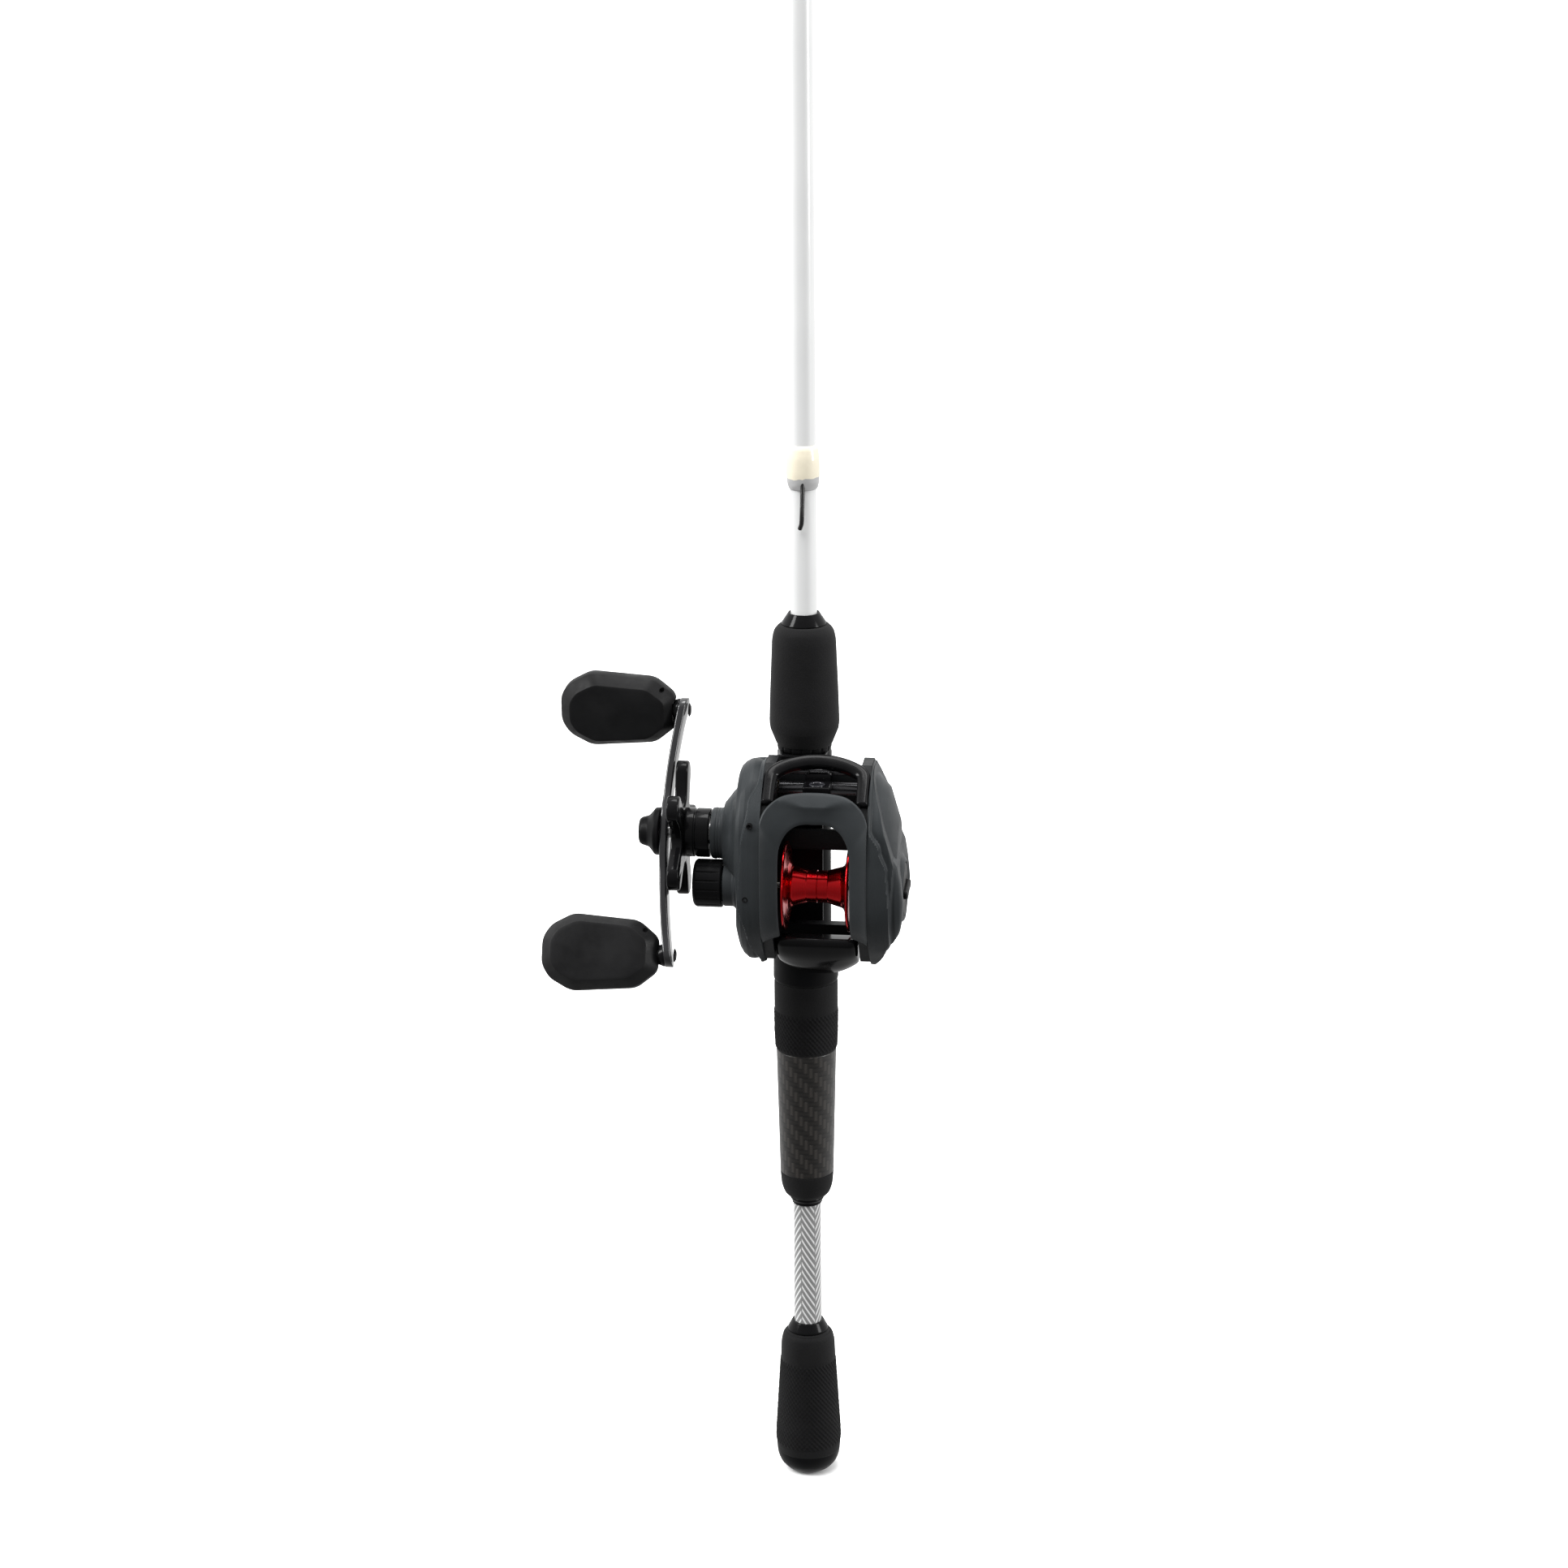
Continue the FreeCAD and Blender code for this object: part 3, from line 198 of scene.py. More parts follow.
def carbon(name):
    """Twill carbon cloth under clear gloss: tows two up, two down, wrapped round the tube. Each tow is
    painted lighter along its crown and darker at its edges, and the warp tows lighter than the weft: painted
    sheen and shade on the weave.
    """
    tows_round, tow_width = 36.0, 0.00205
    made, tree, shader = new_material(name)
    spot, places = place_sockets(tree)
    across = calc("MULTIPLY", angle_socket(places), tows_round)
    along = calc("MULTIPLY", places[2], 1 / tow_width)
    cell = calc("ADD", calc("FLOOR", across), calc("FLOOR", along))
    warp_up = calc("LESS_THAN", calc("FLOORED_MODULO", cell, 4.0), 1.5)
    mix = add(tree, "ShaderNodeMix")
    tree.links.new(warp_up, mix.inputs[0])
    for socket, place in ((mix.inputs[2], along), (mix.inputs[3], across)):
        tree.links.new(calc("SINE", calc("MULTIPLY", calc("FRACT", place), math.pi)), socket)
    fibres = noise(tree, spot, 5200, 2)
    # painted sheen and shade: tows lighter along their crowns and darker at their edges, warp tows lighter
    # than weft tows; the fibre noise adds random tone
    shade = calc("ADD", calc("MULTIPLY", mix.outputs[0], 0.35), calc("MULTIPLY", warp_up, 0.3))
    shade = calc("ADD", shade, calc("MULTIPLY", fibres, 0.3))
    colour = ramp(tree, shade, [(0.1, (0.003, 0.0028, 0.0026)), (0.6, (0.014, 0.0124, 0.0112)),
        (1.0, (0.046, 0.041, 0.037))])
    tree.links.new(colour, shader.inputs["Base Color"])
    settle(shader, Roughness=0.38, Specular_IOR_Level=0.3, Coat_Weight=0.3, Coat_Roughness=0.04)
    bump(tree, shader, mix.outputs[0], 0.00008, 0.6)
    return made


def lacquer(name, low, high):
    """White gloss lacquer, with a printed grey herringbone between two heights in metres."""
    columns_round, stripe_pitch, stripe_slant, stripe_gap = 6.0, 0.0034, 2.7, 0.36
    made, tree, shader = new_material(name)
    spot, places = place_sockets(tree)
    columns = calc("ADD", calc("MULTIPLY", angle_socket(places), columns_round), 0.35)
    inside = calc("FRACT", columns)
    flip = calc("FLOORED_MODULO", calc("FLOOR", columns), 2.0)
    slant = calc("MULTIPLY", inside, calc("SUBTRACT", calc("MULTIPLY", flip, 2.0), 1.0))
    rise = calc("ADD", calc("MULTIPLY", places[2], 1 / stripe_pitch), calc("MULTIPLY", slant, stripe_slant))
    stripe = calc("GREATER_THAN", calc("FRACT", rise), stripe_gap)
    edge = calc("GREATER_THAN", calc("ABSOLUTE", calc("SUBTRACT", inside, 0.5)), 0.465)
    band = calc("MULTIPLY", calc("GREATER_THAN", places[2], low), calc("LESS_THAN", places[2], high))
    ink = calc("MULTIPLY", calc("MAXIMUM", stripe, edge), band)
    white = ramp(tree, noise(tree, spot, 25, 2), [(0.2, (0.60, 0.605, 0.605)), (0.8, (0.66, 0.665, 0.66))])
    tree.links.new(blend(tree, ink, white, (0.19, 0.19, 0.19)), shader.inputs["Base Color"])
    settle(shader, Roughness=0.3, Coat_Weight=0.8, Coat_Roughness=0.06)
    bump(tree, shader, noise(tree, spot, 700, 2), 0.00001, 0.5)
    return made


def thread(name, colour, lower_glaze=0.0):
    """Thread wound round the blank under clear epoxy, each turn painted darker toward its grooves as painted
    shade, bare glaze below the given height.
    """
    pitch = 0.00034
    made, tree, shader = new_material(name)
    spot, places = place_sockets(tree)
    turns = calc("FRACT", calc("MULTIPLY", places[2], 1 / pitch))
    height = calc("SINE", calc("MULTIPLY", turns, math.pi))
    # painted shade: each turn is lighter at its crown and darker toward the grooves between turns, mixed with
    # random tone from the noise
    shade = calc("ADD", calc("MULTIPLY", height, 0.5), calc("MULTIPLY", noise(tree, spot, 400, 4), 0.5))
    dark = [channel * 0.86 for channel in colour]
    fill = ramp(tree, shade, [(0.2, dark), (0.85, colour)])
    wave = calc("MULTIPLY", noise(tree, spot, 260, 1), 0.0022)
    level = calc("SUBTRACT", places[2], wave)
    wound = calc("GREATER_THAN", level, lower_glaze)
    tree.links.new(blend(tree, wound, (0.36, 0.36, 0.36), fill), shader.inputs["Base Color"])
    settle(shader, Roughness=0.5, Coat_Weight=1.0, Coat_Roughness=0.05)
    bump(tree, shader, calc("MULTIPLY", height, wound), 0.00004, 0.5)
    return made


def turned_metal(name, colour, rough, coat=0.0):
    """Machined or anodised metal with fine rings round the X axis."""
    made, tree, shader = new_material(name)
    spot, _ = place_sockets(tree)
    stretch = tree.nodes.new("ShaderNodeMapping")
    stretch.inputs["Scale"].default_value = (9000.0, 30.0, 30.0)
    tree.links.new(spot, stretch.inputs["Vector"])
    rings = noise(tree, stretch.outputs[0], 1.0, 3)
    dark = [channel * 0.72 for channel in colour]
    tree.links.new(ramp(tree, rings, [(0.3, dark), (0.7, colour)]), shader.inputs["Base Color"])
    spread = ramp(tree, rings, [(0.3, (rough * 0.7,) * 3), (0.7, (rough * 1.4,) * 3)])
    tree.links.new(spread, shader.inputs["Roughness"])
    bump(tree, shader, rings, 0.000006, 0.5)
    settle(shader, Metallic=1.0, Coat_Weight=coat)
    return made


HERRING_LOW = 0.062
HERRING_HIGH = 0.1185
WRAP_LOW = span("keeper_wrap", 2)[0] * MM
MATERIALS = {"eva_foam": foam("eva foam"), "white_lacquer": lacquer("white lacquer", HERRING_LOW,
    HERRING_HIGH), "carbon_cloth": carbon("carbon cloth"),
    "gloss_black": plain("gloss black", (0.0022, 0.0022, 0.0025), 0.13, coat=0.04, grain=(900, 0.000003),
    rough_vary=0.04, specular=0.1), "satin_black": plain("satin black", (0.0024, 0.0024, 0.0027), 0.42,
    grain=(3000, 0.00001), specular=0.08), "butt_rubber": plain("butt rubber", (0.0026, 0.0026, 0.003),
    0.36, grain=(1800, 0.00001), specular=0.1), "charcoal_paint": plain("charcoal paint",
    (0.019, 0.0215, 0.0232), 0.44, grain=(4200, 0.000016), vary=0.07, rough_vary=0.05, specular=0.16),
    "frame_black": plain("frame paint", (0.008, 0.0086, 0.0092), 0.42, grain=(4200, 0.000014), vary=0.07,
    specular=0.12), "knob_rubber": plain("knob rubber", (0.0045, 0.0045, 0.0048), 0.5,
    grain=(2200, 0.00002), vary=0.25, rough_vary=0.12, specular=0.16),
    "arm_black": plain("arm black", (0.008, 0.008, 0.009), 0.16, coat=0.5, grain=(900, 0.000004)),
    "bright_steel": turned_metal("bright steel", (0.62, 0.62, 0.62), 0.22),
    "guide_steel": plain("guide steel", (0.10, 0.10, 0.105), 0.24, metallic=0.9, grain=(1500, 0.000004)),
    "black_wire": plain("black wire", (0.012, 0.012, 0.012), 0.3, metallic=0.3, grain=(1500, 0.00001)),
    "ring_ceramic": plain("ring ceramic", (0.02, 0.021, 0.024), 0.08, coat=0.8, grain=(600, 0.000002)),
    "red_anodised": turned_metal("red anodised", (0.62, 0.004, 0.008), 0.2, coat=0.25),
    "gear_brass": turned_metal("gear brass", (0.58, 0.42, 0.16), 0.3),
    "drag_carbon": plain("drag carbon", (0.03, 0.03, 0.03), 0.6),
    "filler_foam": plain("filler foam", (0.3, 0.3, 0.28), 0.85, grain=(900, 0.0001)),
    "thread_wrap": thread("cream thread", (0.76, 0.70, 0.55), WRAP_LOW + 0.0035),}
WHITE_THREAD = thread("white thread", (0.74, 0.70, 0.60))


# ---------------------------------------------------------------- mesh helpers (millimetres in, metres out)
def enrolled(name, mesh, slot, body, stands_for):
    """Make a mesh an object that rides a body, fills a slot and stands for frame nodes."""
    made = bpy.data.objects.new(name, mesh)
    bpy.context.scene.collection.objects.link(made)
    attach(made, body)
    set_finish(made, slot)
    if stands_for:
        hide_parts(*stands_for)
    return made


def piece(name, points, faces, slot, body="root", stands_for=(), material=None):
    """Make a visible piece from points in millimetres in the row frame."""
    mesh = bpy.data.meshes.new(name)
    mesh.from_pydata([(p[0] * MM, p[1] * MM, p[2] * MM) for p in points], [], faces)
    mesh.validate()
    for polygon in mesh.polygons:
        polygon.use_smooth = True
    mesh.materials.append(material or MATERIALS[slot])
    return enrolled(name, mesh, slot, body, stands_for)


def bake(made, *modifiers):
    """Apply modifiers given as (type, settings)."""
    for number, (kind, settings) in enumerate(modifiers):
        modifier = made.modifiers.new("m%d" % number, kind)
        for key, value in settings.items():
            setattr(modifier, key, value)
    bpy.context.view_layer.update()
    graph = bpy.context.evaluated_depsgraph_get()
    mesh = bpy.data.meshes.new_from_object(made.evaluated_get(graph))
    made.modifiers.clear()
    made.data = mesh
    return made


def outward(made):
    """Turn the faces outward."""
    cage = bmesh.new()
    cage.from_mesh(made.data)
    bmesh.ops.remove_doubles(cage, verts=cage.verts, dist=1e-7)
    bmesh.ops.recalc_face_normals(cage, faces=cage.faces)
    cage.to_mesh(made.data)
    cage.free()
    return made


def rounded(corners, radius=0.6, steps=4, closed=True):
    """Round the corners of an outline, each by its own radius where a corner gives one."""
    count = len(corners)
    result = []
    for index, corner in enumerate(corners):
        point = Vector(corner[:2])
        size = corner[2] if len(corner) > 2 else radius
        if not closed and index in (0, count - 1) or size == 0:
            result.append(tuple(point))
            continue
        before = Vector(corners[index - 1][:2]) - point
        after = Vector(corners[(index + 1) % count][:2]) - point
        reach = min(size, before.length * 0.48, after.length * 0.48)
        if reach < 1e-6:
            result.append(tuple(point))
            continue
        start = point + before.normalized() * reach
        stop = point + after.normalized() * reach
        for step in range(steps + 1):
            share = step / steps
            rest = 1 - share
            result.append(tuple(start * rest ** 2 + point * 2 * share * rest + stop * share ** 2))
    return result


def box(left, right, low, high, corner, steps=4):
    """A rectangle with rounded corners."""
    return rounded([(left, low), (right, low), (right, high), (left, high)], corner, steps)


def finer(profile, longest, closed=True):
    """Divide long stretches of an outline so no step is over a length."""
    result = []
    for start, stop in zip(profile, profile[1:] + (profile[:1] if closed else [])):
        gap = math.dist(start[:2], stop[:2])
        count = max(1, math.ceil(gap / longest))
        for step in range(count):
            share = step / count
            result.append((start[0] + (stop[0] - start[0]) * share,
                start[1] + (stop[1] - start[1]) * share))
    return result if closed else result + [profile[-1]]


def tube_faces(rings, around, close_rings=True):
    """Faces of a grid of rings; the last ring joins the first if asked."""
    faces = []
    for ring in range(rings if close_rings else rings - 1):
        after = (ring + 1) % rings
        for step in range(around):
            turn = (step + 1) % around
            faces.append((ring * around + step, ring * around + turn, after * around + turn,
                after * around + step))
    return faces


def capped_faces(rings, around):
    """Faces of an open grid of rings, closed by a face at each end."""
    return tube_faces(rings, around, False) + [tuple(range(around))[::-1],
        tuple(range((rings - 1) * around, rings * around))]


def lathe(name, profile, slot, origin=Vector(), axis=AXIS_Z, around=96, shape=None, **words):
    """Spin a closed (radius, along) outline.  shape(radius, along, angle) may change the radius."""
    points = []
    for radius, along in profile:
        for step in range(around):
            angle = TAU * step / around
            reach = max(radius, 0.002)
            if shape:
                reach = shape(reach, along, angle)
            local = Vector((reach * math.cos(angle), reach * math.sin(angle), along))
            points.append(axis @ local + origin)
    made = piece(name, points, tube_faces(len(profile), around), slot, **words)
    return outward(made)


def shade_by_angle(made, degrees=32):
    """Smooth faces except over sharp edges."""
    limit = math.cos(math.radians(degrees))
    cage = bmesh.new()
    cage.from_mesh(made.data)
    for edge in cage.edges:
        if len(edge.link_faces) == 2:
            first, second = edge.link_faces
            edge.smooth = first.normal.dot(second.normal) > limit
    for face in cage.faces:
        face.smooth = True
    cage.to_mesh(made.data)
    cage.free()
    return made


def prism(name, outline, low, high, slot, origin, axis=AXIS_X, turn=Matrix.Identity(3), bevel=0.6, segments=3,
          **words):
    """Raise an outline along an axis and round its edges."""
    count = len(outline)
    points = [turn @ (axis @ Vector((a, b, level))) + origin for level in (low, high) for a, b in outline]
    made = outward(piece(name, points, capped_faces(2, count), slot, **words))
    bake(made, ("BEVEL", dict(width=bevel * MM, segments=segments, limit_method="ANGLE",
        angle_limit=math.radians(38))))
    return shade_by_angle(made)


def sweep(name, path, section, slot, up=Vector((0, 0, 1)), scale=None, **words):
    """Carry a closed (side, up) section along a path of points; scale(share) sizes it."""
    points = []
    last = len(path) - 1
    for index, spot in enumerate(path):
        ahead = path[min(index + 1, last)] - path[max(index - 1, 0)]
        ahead.normalize()
        side = ahead.cross(up).normalized()
        rise = side.cross(ahead).normalized()
        width, height = scale(index / last) if scale else (1, 1)
        for a, b in section:
            points.append(spot + side * a * width + rise * b * height)
    around = len(section)
    return outward(piece(name, points, capped_faces(len(path), around), slot, **words))


def spline(points, count):
    """Evenly spread points on a Catmull-Rom curve through the given ones."""
    points = [Vector(point) for point in points]
    whole = [points[0] * 2 - points[1]] + points + [points[-1] * 2 - points[-2]]
    result = []
    for step in range(count):
        place = step / (count - 1) * (len(points) - 1)
        index = min(int(place), len(points) - 2)
        share = place - index
        a, b, c, d = whole[index:index + 4]
        result.append(0.5 * ((2 * b) + (c - a) * share + (2 * a - 5 * b + 4 * c - d) * share ** 2
            + (3 * b - a - 3 * c + d) * share ** 3))
    return result


def disc(radius, steps):
    return [(radius * math.cos(TAU * step / steps), radius * math.sin(TAU * step / steps))
        for step in range(steps)]


def smooth_step(low, high, value):
    share = max(0.0, min(1.0, (value - low) / (high - low)))
    return share * share * (3 - 2 * share)


def merged(name, pieces, body="root", stands_for=()):
    """Join pieces of one material into one object."""
    cage = bmesh.new()
    for each in pieces:
        cage.from_mesh(each.data)
    mesh = bpy.data.meshes.new(name)
    cage.to_mesh(mesh)
    cage.free()
    mesh.materials.append(pieces[0].data.materials[0])
    slot = pieces[0]["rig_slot"]
    for each in pieces:
        bpy.data.objects.remove(each)
    return enrolled(name, mesh, slot, body, stands_for)


# ---------------------------------------------------------------- blank, grips and checks
def sleeve(name, outer, bore, slot, around=96, longest=None, shape=None, **words):
    """A turned part round the rod: rounded outer outline of (radius, height, corner) and a plain bore."""
    skin = rounded(outer, 0.35, 4, closed=False)
    if longest:
        skin = finer(skin, longest, closed=False)
    profile = skin + [(bore, outer[-1][1]), (bore, outer[0][1])]
    return lathe(name, profile, slot, around=around, shape=shape, **words)


def hatch(low, high, depth=0.34, count=44, pitch=2.2):
    """Fine raised diagonal lines between two heights, with a fainter set crossing them."""
    def shape(radius, along, angle):
        if radius < 8:
            return radius
        fade = smooth_step(low, low + 0.5, along) * (1 - smooth_step(high - 0.5, high, along))
        down = math.cos(count * angle + TAU * along / pitch)
        up = math.cos(count * angle - TAU * along / pitch)
        edge = -0.14 * (math.exp(-((along - low) / 0.28) ** 2) + math.exp(-((along - high) / 0.28) ** 2))
        return radius + edge + fade * depth * (max(0.0, down) ** 3 - 0.35 + 0.45 * max(0.0, up) ** 6)
    return shape


CAP_TOP = span("butt_cap", 2)[1]
GRIP_TOP = span("butt_grip", 2)[1]
CHECK_TOP = span("butt_winding_check", 2)[1]
END_LOW, END_HIGH = span("rear_grip_end", 2)
CARBON_TOP = span("carbon_sleeve", 2)[1]
SEAT_LOW, SEAT_HIGH = span("seat_grip", 2)
FORE_LOW, FORE_TOP = span("foregrip", 2)
BORE = 5.46

TIP = span("rod_blank", 2)[1]
BLANK_SKIN = [(10, 5.45), (60, 5.45), (212, 5.45), (357, 5.08), (588, 4.55), (TIP, 0.95)]  # (height, radius)
BLANK_BORE = [(TIP, 0.4), (588, 3.25), (212, 4.1), (10, 4.15)]
lathe("blank", [(radius, height) for height, radius in BLANK_SKIN + BLANK_BORE], "white_lacquer",
    around=64, stands_for=["rod_blank"])

lathe("butt_end_cap", rounded([(0, 0, 0), (7.1, 0, 0.5), (9.0, 0.9, 1.0), (11.4, 3.6, 1.5),
    (12.5, 6.6, 1.2), (12.75, CAP_TOP, 0.15), (0, CAP_TOP, 0)]), "butt_rubber", stands_for=["butt_cap"])
butt = sleeve("butt_foam", [(12.75, CAP_TOP), (13.05, CAP_TOP + 4, 2), (12.9, CAP_TOP + 9, 2),
    (11.1, GRIP_TOP - 14, 1), (10.75, GRIP_TOP - 5, 2), (10.0, GRIP_TOP - 2.0, 1.4),
    (9.05, GRIP_TOP - 0.9, 0.3), (8.95, GRIP_TOP - 1.3, 0.2), (8.3, GRIP_TOP - 0.2, 0.3),
    (7.2, GRIP_TOP)], BORE, "eva_foam", around=352, longest=0.42,
    shape=hatch(CAP_TOP + 3.2, GRIP_TOP - 12.5), stands_for=["butt_grip"])
sleeve("butt_check", [(8.0, GRIP_TOP), (8.05, GRIP_TOP + 0.7), (6.55, CHECK_TOP - 0.5), (6.3, CHECK_TOP),
    (5.5, CHECK_TOP)], BORE, "gloss_black", stands_for=["butt_winding_check"])
sleeve("rear_check", [(5.6, END_LOW - 3), (6.0, END_LOW - 2.8), (6.15, END_LOW - 1.6),
    (6.75, END_LOW - 0.9), (6.8, END_LOW)], BORE, "gloss_black", stands_for=["rear_winding_check"])
rear = sleeve("rear_foam", [(6.9, END_LOW, 0.6), (8.9, END_LOW + 1.6, 1.8), (10.15, END_LOW + 5.0, 2.2),
    (10.6, END_HIGH - 0.5, 0.5), (10.4, END_HIGH)], BORE, "eva_foam", around=128, longest=0.8,
    stands_for=["rear_grip_end"])
sleeve("carbon_tube", [(10.5, END_HIGH), (10.62, END_HIGH + 0.25, 0.2), (11.78, CARBON_TOP - 0.25, 0.2),
    (11.6, CARBON_TOP)], 9.5, "carbon_cloth", around=128, stands_for=["carbon_sleeve"])
seat_foam = sleeve("seat_foam", [(11.6, SEAT_LOW, 0.3), (12.05, SEAT_LOW + 0.4, 0.4),
    (12.35, SEAT_LOW + 8, 2), (12.45, SEAT_LOW + 17), (12.45, SEAT_HIGH - 1), (12.2, SEAT_HIGH)], BORE,
    "eva_foam", around=352, longest=0.42, shape=hatch(SEAT_LOW + 0.6, SEAT_LOW + 17.0),
    stands_for=["seat_grip"])
fore = sleeve("fore_foam", [(10.5, FORE_LOW, 0.3), (10.9, FORE_LOW + 0.6, 0.4),
    (13.1, FORE_LOW + 6.2, 0.25), (13.45, FORE_LOW + 8.6, 1.2), (13.1, FORE_LOW + 20, 4),
    (12.2, FORE_TOP - 5.5, 2), (11.4, FORE_TOP - 2.2, 1.4), (9.6, FORE_TOP - 0.35, 0.9), (8.7, FORE_TOP)],
    5.8, "eva_foam", around=128, longest=0.8, body="fore_lock", stands_for=["foregrip"])
sleeve("fore_check", [(8.5, FORE_TOP), (8.6, FORE_TOP + 0.5), (6.7, FORE_TOP + 3.4),
    (6.0, FORE_TOP + 4.5), (5.8, FORE_TOP + 4.6)], 5.8, "gloss_black", body="fore_lock",
    stands_for=["foregrip_check"])


# ---------------------------------------------------------------- reel seat, hood and lock
FOOT_FLAT = (231, 292.5)            # heights between which the seat is flat for the reel foot
FOOT_FLAT_FRONT = 8.5


def seat_shape(radius, along, angle):
    """Flat the seat's front where the reel foot lies."""
    front = -math.sin(angle)
    if radius > 8.2 and FOOT_FLAT[0] < along < FOOT_FLAT[1] and front > 0:
        return min(radius, FOOT_FLAT_FRONT / front)
    return radius


seat = lathe("seat_tube", rounded([(12.2, 212, 0.2), (12.7, 213, 0.6), (12.6, 226, 0.6), (12.0, 229, 0.8),
    (10.6, 230.6, 0.4), (10, 231.2, 0.2), (10, 240, 0), (10, 291.8, 0.3), (8.0, 292, 0.1),
    (8.0, 338, 0.2), (5.6, 338, 0), (5.6, 212, 0)]), "satin_black", around=128, shape=seat_shape)
trigger_path = spline([(0, 8.4, 232), (0, 13, 232.5), (0, 19, 229), (0, 24.5, 223.5), (0, 27.3, 219.4)], 40)
trigger = sweep("trigger", trigger_path, box(-4, 4, -4.8, 4.8, 2.6, 6), "satin_black",
    up=Vector((0, 0, 1)), scale=lambda share: (1, 1.5 - 1.05 * smooth_step(0, 0.8, share)))
bake(trigger, ("BEVEL", dict(width=0.5 * MM, segments=3, limit_method="ANGLE",
    angle_limit=math.radians(60))))
merged("reel_seat_body", [seat, trigger], stands_for=["reel_seat"])


def hood_shape(radius, along, angle):
    """A ring with a squared lobe on its front, over the reel foot."""
    front = -math.sin(angle)
    side = abs(math.cos(angle))
    if radius < 8.5 or front <= 0.12:
        return radius
    lobe = min(12.1 / front, 9.3 / max(side, 0.01))
    return max(radius, min(lobe, 14.3))


HOOD_LOW, HOOD_HIGH = span("moving_hood", 2)
lathe("sliding_hood", rounded([(8.4, HOOD_LOW, 0), (10.0, HOOD_LOW, 0.5), (10.5, HOOD_LOW + 0.8, 0.5),
    (10.5, HOOD_HIGH - 1, 0.8), (9.9, HOOD_HIGH, 0.4), (8.4, HOOD_HIGH, 0)]), "gloss_black", around=160,
    shape=hood_shape, body="hood", stands_for=["moving_hood"])


def knurl(radius, along, angle):
    """Grooves along the locking nut."""
    return radius - (0.35 * max(0.0, math.cos(16 * angle)) ** 4 if radius > 10 else 0)


lathe("lock_ring", rounded([(8.35, 306.2, 0), (10.2, 306.25, 0.4), (10.45, 307.2, 0.3),
    (10.45, 340.2, 0.2), (8.35, 340.2, 0)]), "satin_black", around=192, shape=knurl, body="fore_lock",
    stands_for=["locking_nut"])


# ---------------------------------------------------------------- hook keeper and line guides
def blank_radius(height):
    """The blank's radius above the foregrip."""
    past_step = height >= BLANK_SKIN[-2][0]
    (low, low_radius), (high, high_radius) = BLANK_SKIN[-2:] if past_step else BLANK_SKIN[-3:-1]
    return low_radius + (high_radius - low_radius) * (height - low) / (high - low)


WRAP_BOTTOM, WRAP_TOP = span("keeper_wrap", 2)


def wrap_end(radius, along, angle):
    """Epoxy creeps down unevenly at the wrap's lower end."""
    if radius < 5.3:
        return radius
    lift = 0.10 * math.sin(3 * angle + along) + 0.06 * math.sin(7 * angle - 2 * along)
    return radius + lift * (1 - smooth_step(WRAP_BOTTOM, WRAP_BOTTOM + 5, along))


lathe("keeper_thread", rounded([(5.0, WRAP_BOTTOM, 0), (5.5, WRAP_BOTTOM + 0.2, 0.3),
    (6.1, WRAP_BOTTOM + 2.6, 1.5), (6.35, WRAP_BOTTOM + 6, 2), (6.3, WRAP_TOP - 5, 2),
    (5.7, WRAP_TOP - 1.2, 1.0), (5.0, WRAP_TOP, 0), (4.8, WRAP_TOP, 0), (4.8, WRAP_BOTTOM, 0)]),
    "thread_wrap", around=128, shape=wrap_end, stands_for=["keeper_wrap"])
keeper_line = spline([(0.4, -5.0, WRAP_BOTTOM + 12), (0.4, -5.2, WRAP_BOTTOM + 3.4),
    (0.5, -6.9, WRAP_BOTTOM - 2.5), (0.5, -8.4, WRAP_BOTTOM - 7.5), (0.3, -8.3, WRAP_BOTTOM - 11.5),
    (-0.5, -6.8, WRAP_BOTTOM - 14)], 60)
sweep("keeper_wire", keeper_line, disc(0.86, 20), "black_wire", up=Vector((1, 0, 0)),
    stands_for=["hook_keeper"])


def torus(name, centre, axis, ring, thick, slot, **words):
    """A ring of round wire about an axis."""
    axis = axis.normalized()
    side = axis.orthogonal().normalized()
    other = axis.cross(side)
    points = []
    for step in range(64):
        angle = TAU * step / 64
        outward_dir = side * math.cos(angle) + other * math.sin(angle)
        for turn in range(20):
            roll = TAU * turn / 20
            reach = ring + thick * math.cos(roll)
            points.append(centre + outward_dir * reach + axis * thick * math.sin(roll))
    return outward(piece(name, points, tube_faces(64, 20), slot, **words))


def flat_ring(name, centre, axis, inner, outer_radius, height, slot, **words):
    """A ring of rounded rectangular section about an axis."""
    axis = axis.normalized()
    side = axis.orthogonal().normalized()
    frame_matrix = Matrix((side, axis.cross(side), axis)).transposed()
    half = height / 2
    profile = rounded([(inner, -half, 0.5), (outer_radius, -half, 0.15), (outer_radius, half, 0.15),
        (inner, half, 0.5)], 0.4, 5)
    return lathe(name, profile, slot, centre, frame_matrix, 64, **words)


